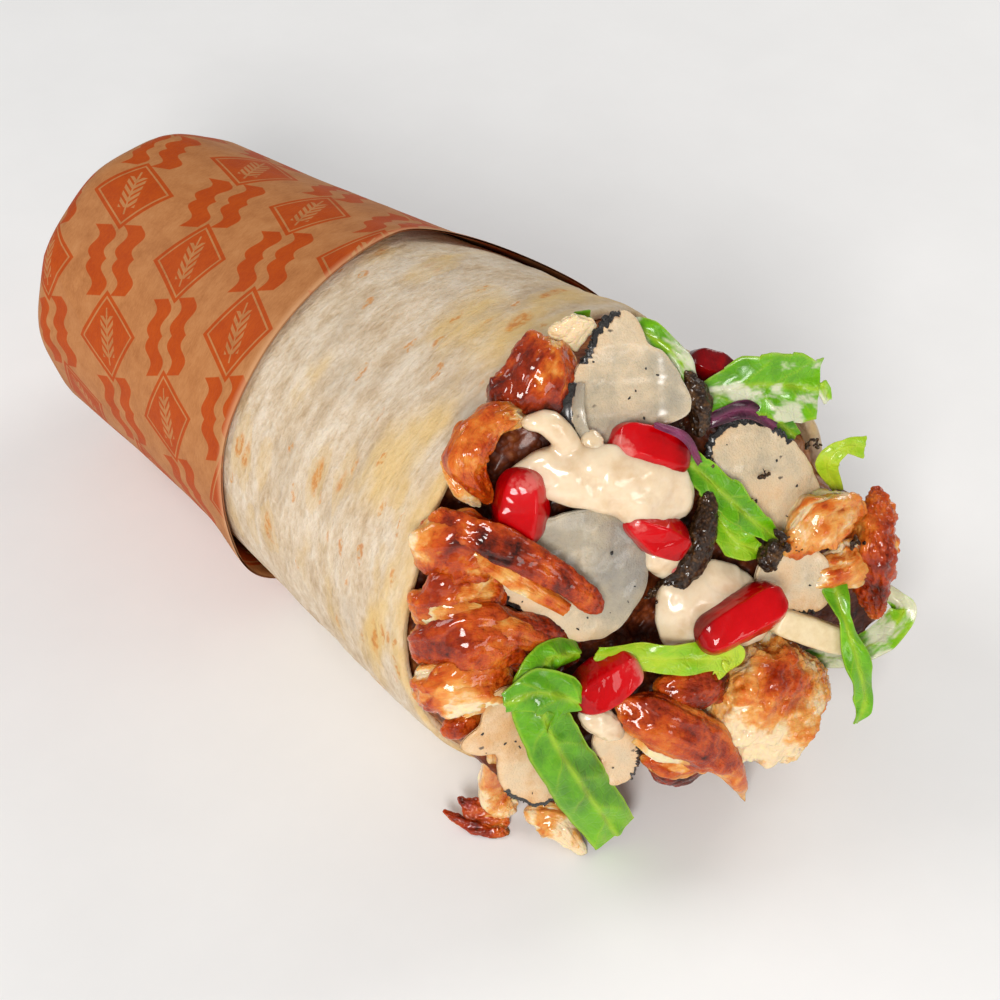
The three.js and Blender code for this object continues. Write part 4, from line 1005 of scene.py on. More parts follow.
def relief_build(tree, geometry, size):
    """Folded layers that follow the piece, torn patches where the browned skin is gone, and a pebbled crust."""
    rest = attribute(tree, "rest")
    x, y, z = parts_of(rest)
    flow = vector_of(tree, x / size["Fold Length"], y / size["Fold Width"], z / size["Fold Width"])
    swell = noise(flow, 1.0, size["Seed"], 1.0, 0.5, 0.3)
    layers = swell * FOLD_LAYERS
    within = layers - floor(layers)
    edge = clamp01(1.0 - within * 6.0) * clamp01(within * 40.0)
    stepped = (floor(layers) + smooth_step(within * 2.0)) / FOLD_LAYERS
    rough = noise(rest, size["Pebble Size"], size["Seed"] + 5.0, 3.0, 0.6)
    torn = smooth_step((noise(flow, 0.9, size["Seed"] + 9.0, 3.0, 0.6, 0.3) - 1.0 + size["Torn Share"]) * 26.0 + 0.5)
    height = (swell - 0.5) * 1.6 * size["Fold Depth"] + (stepped - swell) * FOLD_LAYERS * size["Layer Depth"] \
        + (rough - 0.5) * 2.0 * size["Pebble Height"] - torn * size["Layer Depth"] * 0.8
    # Marks the low parts and step bottoms of the folds, which the finishes darken as painted shade.
    marked = stored(tree, geometry, "valley", clamp01(edge * 0.6 + (0.36 - swell) * 3.0))
    dented = pushed_out(tree, stored(tree, marked, "torn", torn), height)
    x, y, z = parts_of(place_in(tree))
    return moved(tree, dented, Position=vector_of(tree, x, y, most(z, FLOOR_GAP)))


torn_relief = geometry_tree("torn relief", {
    "Fold Width": 4.0, "Fold Length": 12.0, "Fold Depth": 1.2, "Layer Depth": 0.35, "Torn Share": 0.42,
    "Pebble Size": 0.9, "Pebble Height": 0.1, "Seed": 0.0,
}, relief_build)


def random_vector(tree, low, high, seed):
    """A random vector between two others, for each point."""
    inputs = {0: low, 1: high, "Seed": seed}
    return output(add_node(tree, "FunctionNodeRandomValue", inputs, data_type="FLOAT_VECTOR"))


def crumb_at_points(tree, points, size, faces, own_size=1.0):
    """A small rough crumb at each point, turned and sized at random."""
    ball = output(add_node(tree, "GeometryNodeMeshIcoSphere", {"Radius": 1.0, "Subdivisions": faces}))
    sides = random_vector(tree, (0.4, 0.4, 0.25), (1.7, 1.1, 0.7), size["Seed"])
    turn = random_vector(tree, (0, 0, 0), (6.28, 6.28, 6.28), size["Seed"] + 1.0)
    scale = add_node(tree, "ShaderNodeVectorMath", {0: sides, 3: size["Crumb Size"] * own_size * (MM / 2)},
                     operation="SCALE")
    put = add_node(tree, "GeometryNodeInstanceOnPoints", {
        "Points": points, "Instance": ball, "Rotation": turn, "Scale": output(scale)})
    whole = output(add_node(tree, "GeometryNodeRealizeInstances", {"Geometry": output(put)}))
    rough = noise(stretched(place_in(tree), 1 / MM, 1 / MM, 1 / MM), size["Crumb Size"] * 0.6, 3.0, 1.0) - 0.5
    return pushed_out(tree, whole, rough * size["Crumb Size"])


def crumbs_build(tree, surface, size):
    """Crumbs scattered over the upper side of a surface, where its mask is high."""
    mask = attribute(tree, "scatter", "FLOAT")
    spread = add_node(tree, "GeometryNodeDistributePointsOnFaces", {
        "Mesh": surface, "Density": mask * size["Crumbs"] * 1e6, "Seed": size["Seed"]})
    return crumb_at_points(tree, output(spread), size, 1)


scattered_crumbs = geometry_tree("scattered crumbs", {"Crumbs": 0.02, "Crumb Size": 0.5, "Seed": 1.0}, crumbs_build)


def placed_crumbs_build(tree, dots, size):
    """Crumbs at given points, each of its own size."""
    points = output(add_node(tree, "GeometryNodeMeshToPoints", {"Mesh": dots}))
    return crumb_at_points(tree, points, size, 3, attribute(tree, "crumb", "FLOAT"))


placed_crumbs = geometry_tree("placed crumbs", {"Crumb Size": 1.0, "Seed": 1.0}, placed_crumbs_build)


def rind_build(tree, line, size):
    """A crinkled rind: rough beads that follow the edge of a slice."""
    curve = output(add_node(tree, "GeometryNodeMeshToCurve", {"Mesh": line}))
    even = add_node(tree, "GeometryNodeResampleCurve", {"Curve": curve, "Length": size["Spacing"] * MM},
                    mode="LENGTH")
    return crumb_at_points(tree, output(even), size, 2)


crinkled_rind = geometry_tree("crinkled rind", {"Spacing": 0.5, "Crumb Size": 1.2, "Seed": 1.0}, rind_build)


# ---------------------------------------------------------------- kinds of filling pieces

SEED_SHIFT = 13.0
TOOTH_GAP = 4.3
VEIN_GAP = 6.0
VEIN_WIDTH = 0.26
RIB_WIDTH = 0.45
EDGE_CURL = 0.45
RIND_POINTS = 80


def path_points(path, t):
    """Points of a smooth curve through a path, spread over its corners evenly."""
    corners = np.array([on_face(*corner) for corner in path])
    corners = np.concatenate([[2 * corners[0] - corners[1]], corners, [2 * corners[-1] - corners[-2]]])
    place = np.clip(t, 0, 1) * (len(path) - 1)
    first = np.minimum(np.floor(place).astype(int), len(path) - 2)
    w = (place - first)[:, None]
    p0, p1, p2, p3 = (corners[first + k] for k in range(4))
    t0, t1 = (p2 - p0) / 2, (p3 - p1) / 2
    return p1 + w * (t0 + w * (3 * (p2 - p1) - 2 * t0 - t1 + w * (2 * (p1 - p2) + t0 + t1)))


def path_frame(path, t, turn):
    """The curve's point, its direction, and the directions of a piece's width and thickness."""
    ahead = unit(path_points(path, np.minimum(t + 1e-3, 1)) - path_points(path, np.maximum(t - 1e-3, 0)))
    out = unit(face_out - ahead * (ahead @ face_out)[:, None])
    swing = (turn * DEGREE)[:, None]
    out = out * np.cos(swing) + np.cross(ahead, out) * np.sin(swing)
    return path_points(path, t), ahead, out, np.cross(ahead, out)


def path_length(path):
    points = path_points(path, np.linspace(0, 1, 60))
    return np.linalg.norm(np.diff(points, axis=0), axis=1).sum()


def prism(angle, sides):
    """How far a prism with soft edges reaches at an angle, against a round bar."""
    step = 2 * np.pi / sides
    return 1.08 * (np.cos(step / 2) / np.cos(angle % step - step / 2)) ** 0.85


def lump(name, spec, sides=72, rings=84):
    """A chunk swept along a path, with a lumpy or facetted section, as the solid it stands for."""
    path, seed = spec["path"], spec["seed"]
    blunt, crag, facets = spec.get("blunt", 3), spec.get("crag", 0.12), spec.get("facets", 0)
    square, top_tone = spec.get("square", 0.85), spec.get("top_tone", 0.12)
    length = path_length(path)

    def point_of(turn, ring):
        y = -np.cos(np.pi * ring)
        t = (1 + y) / 2
        swell = np.sqrt(np.maximum(0, 1 - np.abs(y) ** blunt))
        angle = 2 * np.pi * turn
        c, s = np.cos(angle), np.sin(angle)
        facet = prism(angle + seed, facets) if facets else 1
        small = 0.35 * uneven(seed + 9, 7 * c + 25 * t, 7 * s)
        rough = facet + crag * (uneven(seed, 2.1 * c + 6 * t, 2.1 * s) + small)
        bulge = 1 + 1.6 * crag * uneven(seed + 5, 9 * t, 2)
        x = np.sign(c) * np.abs(c) ** square * (along(spec["wide"], t) / 2) * rough * bulge * swell
        z = np.sign(s) * np.abs(s) ** square * (along(spec["thick"], t) / 2) * rough * swell
        centre, _, out, side = path_frame(path, t, along(spec.get("turn", [0]), t))
        # top_tone raises the tone on the piece's outward side. On the seed finish this makes the upper side lighter,
        # which is painted light; on the meat finish it makes that side a darker brown.
        tone = along(spec.get("tone", [0.5]), t) + top_tone * s * swell
        for at, beside, change in spec.get("patches", []):
            tone = tone + change * bell(t - at, 0.2) * bell(c - beside, 0.6) * (s > 0)
        return centre + side * x[:, None] + out * z[:, None], {
            "rest": np.stack([length * t + SEED_SHIFT * seed, x, z], axis=1), "tone": tone}

    return loft_piece(name, sides, rings, point_of)


def strip(name, spec, steps=150, lanes=30):
    """A leaf or a shred along a path: cupped, blistered between its veins, frilled at its edges."""
    path, seed = spec["path"], spec["seed"]
    length = path_length(path)
    thick, teeth, frill = spec.get("thick", 0.55), spec.get("teeth", 0.0), spec.get("frill", 0.3)

    def point_of(u, v, face):
        centre, ahead, out, side = path_frame(path, u, along(spec.get("turn", [0]), u))
        x = 2 * v - 1
        s = length * u
        notch = np.abs(((s + seed + np.where(x > 0, 0.0, 1.9)) / TOOTH_GAP) % 1.0 - 0.3)
        ragged = 1 - teeth * np.clip(notch, 0, 0.7) + 0.05 * uneven(seed + 9, s / 1.3, np.sign(x))
        half = along(spec["wide"], u) / 2 * ragged
        for at, edge, reach in spec.get("points", []):
            tooth = np.where(u < at, np.clip(1 + (u - at) / 0.09, 0, 1), np.clip(1 - (u - at) / 0.015, 0, 1))
            half = half + reach * tooth * (x * edge > 0)
        across = x * half
        stray = 0.8 * uneven(seed + 5, s / 4, across / 2)
        phase = (s - np.abs(across) * 1.1 + seed + stray + np.where(x > 0, 0.0, VEIN_GAP * 0.4)) / VEIN_GAP
        phase = phase % 1.0 - 0.5
        rib = np.exp(-(across / RIB_WIDTH) ** 2)
        branch = np.exp(-(phase * VEIN_GAP / VEIN_WIDTH) ** 2) * (1 - np.abs(x) ** 3)
        blister = (np.cos(np.pi * phase * 2) * 0.10 + 0.12 * uneven(seed + 6, s / 1.8, across / 1.5)) \
            * (1 - x * x) * spec.get("blister", 1.0)
        edge_wave = frill * np.abs(x) ** 4 * uneven(seed + 3, s / 1.6, np.sign(x) * 3)
        lift = spec.get("cup", 0) * x * x
        lift = lift + spec.get("ripple", 0) * x * np.sin(2 * np.pi * spec.get("waves", 3) * u + seed + x)
        lift = lift + blister + edge_wave - 0.16 * rib + 0.1 * uneven(seed + 1, s / 2.4, across / 2)
        taper = np.sqrt(np.clip(1 - np.abs(x) ** 6, 0, 1)) * np.sqrt(np.clip(1 - np.abs(2 * u - 1) ** 24, 0, 1))
        point = centre + side * across[:, None] + out * (lift + face * (0.05 + taper * (thick / 2 - 0.05)))[:, None]
        point = point + ahead * (0.35 * uneven(seed + 7, x * 3, 1) * np.abs(2 * u - 1) ** 8)[:, None]
        return point, {
            "rest": np.stack([s + SEED_SHIFT * seed, across, 0 * s + face * 0.3], axis=1),
            "vein": np.maximum(rib, branch * 0.6), "rim": np.abs(x),
            "tone": along(spec.get("tone", [0.4]), u) + 0 * s, "smear": 0 * s + spec.get("smear", 0),
            "rind": np.clip(spec.get("rind", 0) * (x + 0.2) * 2, 0, 1)}

    return shell_piece(name, steps, lanes, False, point_of)


def slice_point(spec, turn, v, face):
    """A point of a thin slice at a turn round its middle, v of the way out to its edge."""
    seed, (from_turn, to_turn) = spec["seed"], spec["rind"]
    in_rind = smooth_step(np.minimum(turn - from_turn, to_turn - turn) * 60 + 0.5)
    in_rind = np.maximum(in_rind, smooth_step(np.minimum(turn + 1 - from_turn, to_turn - turn - 1) * 60 + 0.5))
    beads = np.sin(2 * np.pi * turn * 37 + 2 * np.sin(turn * 61))
    nibble = 0.16 * uneven(seed + 2, 40 * turn, 3) * (1 - in_rind) + 0.14 * in_rind * beads
    radius = v * (around(spec["reach"], turn) + nibble * 1.6)
    angle = 2 * np.pi * turn
    across, up = radius * np.cos(angle), radius * np.sin(angle)
    slope = spec["slope"]
    wave = 0.45 * uneven(seed, across / 3, up / 3) * v + 0.14 * uneven(seed + 4, across * 0.8, up * 0.8)
    wave = wave + EDGE_CURL * v ** 5 * np.sin(2 * np.pi * 2 * turn + seed)
    bed = slope[0] * across + slope[1] * up + spec.get("dish", 0) * radius * radius / 100 + wave
    taper = np.sqrt(np.clip(1 - v ** 30, 0, 1))
    half = 0.5 * SLICE_THICKNESS * (0.35 + 0.65 * taper)
    centre = spec["centre"]
    point = on_face(centre[0] + across, centre[1] + up, centre[2] + bed + face * half)
    return point, across, up, in_rind


def slice_piece(name, spec, sectors=210, rings=40):
    tint = spec["tint"]

    def point_of(turn, v, face):
        point, across, up, in_rind = slice_point(spec, turn, v, face)
        in_width = np.clip(1.25 - (1 - v) * around(spec["reach"], turn) / RIND_WIDTH, 0, 1)
        return point, {
            "rest": np.stack([across + SEED_SHIFT * spec["seed"], up, 0 * up + 0.4 * face], axis=1),
            "tone": tint[0] + tint[1] * across / 10 + tint[2] * up / 10 + 0.2 * v ** 9,
            "rind": in_rind * in_width, "scatter": (v < 0.92) * (face > 0) * 1.0}

    return shell_piece(name, sectors, rings, True, point_of)


def slice_rind(name, spec):
    """The dark crinkled rind on one stretch of a slice's edge."""
    turn = np.linspace(*spec["rind"], RIND_POINTS)
    line = slice_point(spec, turn, np.full(RIND_POINTS, 0.985), 0.0)[0]
    piece = empty_piece(name)
    piece.data.from_pydata(((line + ROLL_AT) * MM).tolist(), [(k, k + 1) for k in range(RIND_POINTS - 1)], [])
    return shaped_by(piece, crinkled_rind, RIND, Spacing=0.5, Crumb_Size=0.65, Seed=spec["seed"])


def dressed(piece, finish):
    piece.data.materials.clear()
    piece.data.materials.append(finish)
    return piece


# ---------------------------------------------------------------- paper and bread

SLEEVE_ROWS = 300
WALL_STEPS = 100
ROUND_STEPS = 12
END_STEPS = 36
SLEEVE_COLUMNS = WALL_STEPS + ROUND_STEPS + END_STEPS
SLEEVE_ARC_RADIUS = 28
CREASES = 16
CREASE_WIDTH = 1.3
CRUMPLE_DEPTH = 0.3
FLARE_LENGTH = 13
FACET_DEPTH = 0.7
FACET_LENGTH = 26
PLEAT_TWIST = 1.1


def sleeve_creases(arc, x):
    """Soft straight creases, where the sheet was folded and pressed by hand."""
    chance = np.random.default_rng(23)
    relief = 0 * arc
    for _ in range(CREASES):
        at_arc, at_x = chance.uniform(-80, 80), chance.uniform(2, 70)
        heading, reach = chance.uniform(-0.6, 0.6), chance.uniform(8, 22)
        along_crease = (x - at_x) * np.cos(heading) + (arc - at_arc) * np.sin(heading)
        off = (arc - at_arc) * np.cos(heading) - (x - at_x) * np.sin(heading)
        ridge = np.exp(-np.abs(off) / CREASE_WIDTH) * bell(along_crease, reach)
        relief = relief + chance.uniform(-0.28, 0.32) * ridge
    return relief


def sleeve_point(turn, v, face):
    angle = 200 - 360 * turn
    step = np.round(v * SLEEVE_COLUMNS)
    outward = SKIN_GAP + (PAPER_THICKNESS if face > 0 else 0)
    lowest = 0 if face > 0 else PAPER_THICKNESS
    wall = np.minimum(step, WALL_STEPS) / WALL_STEPS
    edge = paper_edge(angle)
    x_wall = edge + (END_ROUNDING - edge) * wall
    flare = paper_flare(angle) * smooth_step(1 - (edge - x_wall) / FLARE_LENGTH) ** 1.5
    facet = FACET_DEPTH * (1 - np.cos(SLEEVE_FACETS * angle * DEGREE)) * smooth_step(1 - x_wall / FACET_LENGTH)
    crumple = 0.5 + 0.5 * uneven(5, angle / 24, x_wall / 13)
    arc = angle * DEGREE * SLEEVE_ARC_RADIUS
    wall_radius = cone_radius(x_wall) + paper_radius(angle) + outward + flare + crumple * CRUMPLE_DEPTH
    wall_radius = wall_radius + sleeve_creases(arc, x_wall) * smooth_step((edge - x_wall) / 4)
    lean = END_REACH + END_TILT * np.cos((angle - END_TILT_ANGLE) * DEGREE)
    bend = 90 * DEGREE * np.clip((step - WALL_STEPS) / ROUND_STEPS, 0, 1)
    end_x = END_ROUNDING - (END_ROUNDING + outward) * np.sin(bend)
    flat_radius = wall_radius - END_ROUNDING
    radius = flat_radius + (facet * 0.4 + END_ROUNDING) * np.cos(bend)
    x_now = np.where(step <= WALL_STEPS, x_wall, end_x)
    x_now = x_now - lean * smooth_step(1 - x_now / END_TILT_LENGTH)
    inward = 1 - np.clip((step - WALL_STEPS - ROUND_STEPS) / END_STEPS, 0, 1)
    pleat = np.abs(np.sin((END_PLEATS / 2) * (angle * DEGREE + PLEAT_TWIST * (1 - inward))))
    relief = PLEAT_DEPTH * pleat * np.sqrt(np.abs(np.sin(np.pi * inward)))
    on_end = step > WALL_STEPS + ROUND_STEPS
    x_now = np.where(on_end, -outward - END_REACH - (lean - END_REACH) * inward - relief, x_now)
    radius = np.where(on_end, flat_radius * inward, radius)
    point = np.stack(on_roll(x_now, angle, radius, lowest), axis=1)
    down_end = -flat_radius * (1 - inward) - 9
    length = np.where(on_end, down_end, np.where(step <= WALL_STEPS, x_wall, end_x - 3 * bend))
    # rim is 1 at the sheet's front edge and fades out within 1.3 mm; the paper finish paints it lighter as a painted
    # highlight on the lit edge.
    return point, {"rest": np.stack([arc, length, 0 * arc + face], axis=1),
                   "rim": np.clip(1.3 - (edge - x_wall), 0, 1)}


def paper_sleeve():
    piece = shell_piece("printed_sleeve", SLEEVE_ROWS, SLEEVE_COLUMNS, True, sleeve_point)
    placed(dressed(piece, PAPER), "paper", "paper_sleeve")


def flatbread():
    placed(shaped_by(empty_piece("wound_flatbread"), rolled_flatbread, BREAD), "bread", "flatbread")


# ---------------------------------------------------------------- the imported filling

GROUND_OUT = -3.2
MOUNDS = [
    (-16, 6, 5.6, 9), (-9, 33, 4.6, 7), (-9, 21, 6.2, 8), (13, 17, 5.4, 9), (12, 1, 6.2, 9), (28, 5, 3.6, 8),
    (-24, -14, 3.2, 8), (-8, -17, 4, 8), (12, -17, 3, 9),
]
HOLLOWS = [(29, 19, 9, 9), (16, 32, 7, 7), (4, 38, 5, 7), (8, -36, 13, 13), (26, -26, 9, 10), (-35, 14, 3, 8)]


def ground_out(across, up):
    """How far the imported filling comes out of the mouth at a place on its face."""
    def highest(bumps):
        return np.max([rise * bell(np.hypot(across - a, up - b), spread * 1.25)
                       for a, b, rise, spread in bumps], axis=0)

    return GROUND_OUT + highest(MOUNDS) - highest(HOLLOWS) + 0.45 * uneven(17, across / 4, up / 4)


def innermost_offset(angle):
    wrapped = angle - 360 * np.floor((angle - BREAD_FIRST_ANGLE + 360) / 360)
    step = BREAD_PITCH * smooth_step(1 - (wrapped - BREAD_FIRST_ANGLE + 360) / LAP_STEP_SPAN)
    return winding_offset(wrapped) - step - BREAD_THICKNESS - SKIN_GAP


def packed_filling():
    start_x = BREAD_START_X + 0.4
    back, wall, face_rings = 8, 40, 90
    rings = back + wall + face_rings

    def point_of(turn, ring):
        angle = 360 * turn
        j = np.round(ring * rings)

        def wall_point(x):
            radius = roll_radius(x) + innermost_offset(angle)
            return np.stack(on_roll(x, angle, radius, bread_lift(x) + BREAD_THICKNESS + SKIN_GAP), axis=1)

        start = np.full(len(turn), start_x)
        centre = np.stack([start, 0 * start, axis_height(start)], axis=1)
        back_point = centre + (wall_point(start) - centre) * np.clip(j / back, 0, 1)[:, None]
        mouth_x = np.full(len(turn), float(NEAR_RIM_X))
        for _ in range(8):
            offset = wall_point(mouth_x) - FACE_CENTRE
            out = ground_out(offset @ face_across, offset @ face_up)
            mouth_x = mouth_x + (out - offset @ face_out) / face_out[0]
        on_wall = wall_point(start_x + (mouth_x - start_x) * np.clip((j - back) / wall, 0, 1))
        rim = wall_point(mouth_x) - FACE_CENTRE
        outward = 1 - np.clip((j - back - wall) / face_rings, 0, 1)
        across, up = (rim @ face_across) * outward, (rim @ face_up) * outward
        on_mouth = on_face(across, up, ground_out(across, up))
        point = np.where((j <= back)[:, None], back_point, np.where((j <= back + wall)[:, None], on_wall, on_mouth))
        return point, {"rest": point}

    piece = loft_piece("packed_filling_mass", 220, rings, point_of)
    shaped_by(piece, torn_relief, CORE, Fold_Width=5, Fold_Length=5, Fold_Depth=2.4, Pebble_Size=1.2,
              Pebble_Height=0.3, Seed=2)
    placed(piece, "packed_filling", "packed_filling")


# ---------------------------------------------------------------- the pieces of the filling

SLICE_THICKNESS = 1.0
RIND_WIDTH = 0.85
SLICES = {
    "slice_top": dict(
        centre=(-9, 34, 3), reach=[6.9, 5.8, 5.4, 8.9, 8.2, 7.1, 8.4, 10.6, 10.6, 8.5, 8, 9],
        slope=(0.16, -0.14), dish=0.6, seed=2, rind=(0.27, 0.45), tint=(0.30, -0.10, 0.16)),
    "slice_centre": dict(
        centre=(-17, 6, 5), reach=[10.7, 11.2, 10.6, 10.4, 11, 12.8, 11.5, 9.2, 8.6, 9.3, 10.1, 10.2],
        slope=(0.1, 0.06), dish=-0.9, seed=4, rind=(0.36, 0.60), tint=(0.24, -0.2, -0.22)),
    "slice_right": dict(
        centre=(12.5, 17.5, 4), reach=[8.8, 7.2, 6.8, 8.2, 10.2, 11, 6.8, 5.2, 6, 7.8, 11.5, 12.4],
        slope=(-0.14, -0.05), dish=-0.8, seed=6, rind=(0.14, 0.62), tint=(0.5, 0.05, -0.06)),
    "slice_low_right": dict(
        centre=(16.5, 2, 4.6), reach=[7.2, 6.4, 5.6, 5.4, 5.8, 6.3, 6, 5.2, 4.6, 5, 6.6, 8.3],
        slope=(-0.08, 0.02), seed=8, rind=(0.69, 0.86), tint=(0.58, 0, -0.1)),
    "slice_front": dict(
        centre=(-25.5, -17.5, 3), reach=[5, 5.5, 7, 9.5, 10, 7, 8.2, 3.6, 4.8, 9.5, 13, 8],
        slope=(0.05, 0.3), seed=10, rind=(0.735, 0.86), tint=(0.68, 0.04, 0.04)),
    "slice_small": dict(
        centre=(-10, -22, 3.2), reach=[3.9, 4, 4, 4.1, 5.4, 4.6, 2.8, 3, 4, 4.9, 5, 4.4],
        slope=(0, 0.1), seed=12, rind=(0.84, 1.1), tint=(0.66, 0, 0)),
}

LEAVES = {
    "lettuce_front": dict(
        path=[(-17, -4.5, 5.5), (-22.5, -4.2, 7), (-24.5, -8.5, 8.2), (-22, -16, 8), (-15.6, -26, 5.2),
              (-7.6, -37.2, -1.2)],
        wide=[3.2, 5, 7.2, 8.2, 8.8, 7.6], cup=-0.9, ripple=0.6, waves=2.5, seed=3, frill=0.15,
        points=[(0.30, -1, 3.4), (0.40, -1, 2.6)], tone=[0.35, 0.4, 0.35, 0.3, 0.3, 0.55], blister=2.4),
    "lettuce_middle": dict(
        path=[(-15, -4.6, 6.5), (-8, -5.8, 7.4), (-0.5, -6.5, 8.6), (5.5, -7.2, 8.6), (3.5, -10, 7.8)],
        wide=[2.4, 4.2, 4.8, 4.4, 1], ripple=0.5, seed=5, tone=[0.6, 0.75, 0.65, 0.8, 0.85]),
    "lettuce_top_right": dict(
        path=[(2, 29.8, 1), (8.6, 31.4, 4), (13.6, 31.4, 5), (19.4, 30.4, 5.6)],
        wide=[2.6, 9, 10.6, 9], cup=1, ripple=1.3, waves=1.2, seed=7, tone=[0.4, 0.3, 0.4, 0.5], teeth=0.15,
        blister=1.8, smear=0.6),
    "lettuce_behind_slice": dict(
        path=[(14.2, 26.4, 0.4), (18.6, 22.4, 1.4)], wide=[3, 3.6, 2], cup=0.5, seed=9, tone=[0.2]),
    "lettuce_edge_top": dict(
        path=[(-8.3, 40.6, -0.6), (-5.2, 39.2, 0.6), (-1.2, 35.6, 3), (1.6, 30.5, 3.6)],
        wide=[2, 4.4, 3.4, 1.6], cup=-0.4, ripple=0.5, seed=11, tone=[0.2, 0.4, 0.5], smear=0.7),
    "lettuce_under_rim": dict(
        path=[(-16.4, 40.6, -2.4), (-12.6, 42, -2.2)], wide=[1, 2.6, 1.4], seed=13, tone=[0.3]),
    "lettuce_curl": dict(
        path=[(29, 20.6, 3.6), (25.6, 21, 3.6), (23.4, 18.4, 2.6), (26.8, 13.4, 0.4)],
        wide=[3.4, 2.2, 3.6, 1.6], turn=[0, 20, 50], seed=15, tone=[0.7, 0.8, 0.8]),
    "lettuce_centre": dict(
        path=[(-1.4, 22.4, 4.4), (4.6, 16.6, 6.2), (9.6, 12, 6.4), (15.2, 8.2, 4.8)],
        wide=[4, 5.6, 4, 1.2], cup=0.5, ripple=0.4, seed=17, tone=[0.35, 0.3, 0.5], teeth=0.2),
    "lettuce_centre_low": dict(
        path=[(3.4, 14.6, 4.4), (7, 9.4, 5.6), (12.6, 6.6, 5.6)], wide=[3.4, 5.2, 1], cup=0.5, ripple=0.3,
        seed=19, tone=[0.4, 0.6, 0.6]),
    "lettuce_strand_right": dict(
        path=[(23.9, 2.2, 4), (24.7, -4, 7), (26.7, -11, 8.2), (29.1, -17.6, 7), (28.9, -22, 5.6)],
        wide=[5.2, 2.2, 4.6, 3.4, 1.2], ripple=0.5, turn=[10, -10, 10], seed=21, tone=[0.3, 0.5, 0.4, 0.4]),
    "lettuce_loop_right": dict(
        path=[(22.5, -13, -0.6), (28.5, -12.6, 1), (34.6, -10.2, 2.2), (38.6, -6.4, 1.6), (36.6, -3.8, -0.8)],
        wide=[2.6, 3.8, 4.8, 4.2, 2.4], turn=[-35], ripple=0.4, seed=23, tone=[0.1, 0.4, 0.6, 0.6], smear=0.7),
    "cabbage_dark": dict(
        path=[(3.4, 26.8, 3.6), (8.6, 28.2, 4.4), (14, 25, 3.6)], wide=[2.2, 2.8, 1.2], seed=25, tone=[0.3]),
    "cabbage_thread": dict(
        path=[(-7.4, 28.2, 8), (-2.8, 26, 8), (0.8, 21.4, 6)], wide=[0.9, 1.4, 0.9], seed=27, tone=[0.6]),
}

EDGE_ON_SLICE = dict(
    path=[(-17.2, 33.8, 3.6), (-18.2, 29.6, 4.6), (-16.4, 25, 4.8)], wide=[2.4, 3.8, 3.2], turn=[35], seed=29,
    rind=1, tone=[0.12], blister=0.4)

# top_tone=0.24 makes each seed lighter on its upper side: painted light.
SEED_SHAPE = dict(blunt=6, facets=5, crag=0.04, top_tone=0.24, square=1)
SEEDS = {
    "seed_top": dict(path=[(-12.8, 26, 5.6), (-1.2, 21.6, 5.8)], wide=[6.6, 7.8, 6.4], thick=[6, 7, 6],
                     tone=[0.95, 0.74, 0.55, 0.55, 0.25, 0.25], seed=1),
    "seed_left": dict(path=[(-25.2, 23, 4.6), (-26, 11.8, 4)], wide=[6, 8.2, 7.4], thick=[6, 7, 6.4],
                      tone=[0.95, 0.72, 0.5, 0.45, 0.3], seed=2),
    "seed_centre": dict(path=[(-11.2, 15, 7.4), (-1.6, 9.6, 7)], wide=[3, 6.4, 5.6], thick=[4, 5.4, 5],
                        tone=[0.95, 0.7, 0.55, 0.45, 0.3], seed=3),
    "seed_front": dict(path=[(-18.4, -11.6, 6.6), (-8.6, -6.4, 6.8)], wide=[6.6, 8, 6.6], thick=[6, 7, 6],
                       tone=[0.3, 0.4, 0.5, 0.75, 0.95], seed=4),
    "seed_right": dict(path=[(-0.6, -4, 9.4), (13, 1.8, 9.4)], wide=[5.8, 7.2, 7], thick=[5.4, 6.6, 6.4],
                       tone=[0.3, 0.55, 0.6, 0.4], seed=5),
    "seed_back": dict(path=[(2.4, 34.6, -1.6), (9.6, 31.2, -1.4)], wide=[4.6, 5.8, 4.6], thick=[4.6, 5.4, 4.6],
                      tone=[0.1, 0.2, 0.1], seed=6),
}

SAUCE_CENTRE = [
    dict(path=[(-27, 22, 3), (-18.6, 21.6, 5), (-9, 19.2, 6.6), (0, 15.4, 5.6)], wide=[5, 8.4, 11.4, 9.5],
         thick=[3, 5, 5.4, 4.6], seed=31),
    dict(path=[(-25.6, 29.2, 4.4), (-21.6, 28.8, 5.2), (-17.6, 23.6, 5)], wide=[3.6, 3.8, 5.4],
         thick=[3, 3.2, 3.6], seed=33),
    dict(path=[(-5.6, 12.4, 5), (-1.8, 4.2, 3.6)], wide=[6, 7, 4.6], thick=[4, 4.2, 3.4], seed=35),
]
SAUCE_RIGHT = dict(centre=(4.2, -1, 5), reach=[10, 7.5, 7, 7.6, 8, 9.2, 9.2, 8.6, 7, 5.8, 6.8, 10.2],
                   thick=5, dome=0.8, ripple=0.7, seed=37)
SAUCE_FRONT = dict(path=[(-16.6, -14, 4.6), (-13, -16, 5), (-9.6, -18.4, 4.6)], wide=[3, 4.4, 2.6],
                   thick=[2.6, 3, 2], seed=39)

PASTE = {
    "paste_ribbon": dict(path=[(2.2, 17.2, 6), (1.2, 11, 6.6), (-0.6, 5.4, 5.4), (-5, 1.6, 3)],
                         wide=[3.2, 4.4, 4, 2.6], thick=[2.6, 3.4, 3, 2.4], seed=41),
    "paste_behind": dict(path=[(-0.5, 34.2, 3.4), (0.9, 30.2, 4.6), (1.2, 25, 4.4)], wide=[2.4, 3.8, 3],
                         thick=[2.4, 3, 2.6], seed=43),
    "paste_dot": dict(path=[(12.4, 9.4, 6.6), (12.2, 4.6, 6.4)], wide=[2.8, 3.6, 2.8], thick=[2.4, 3, 2.4],
                      seed=45),
}

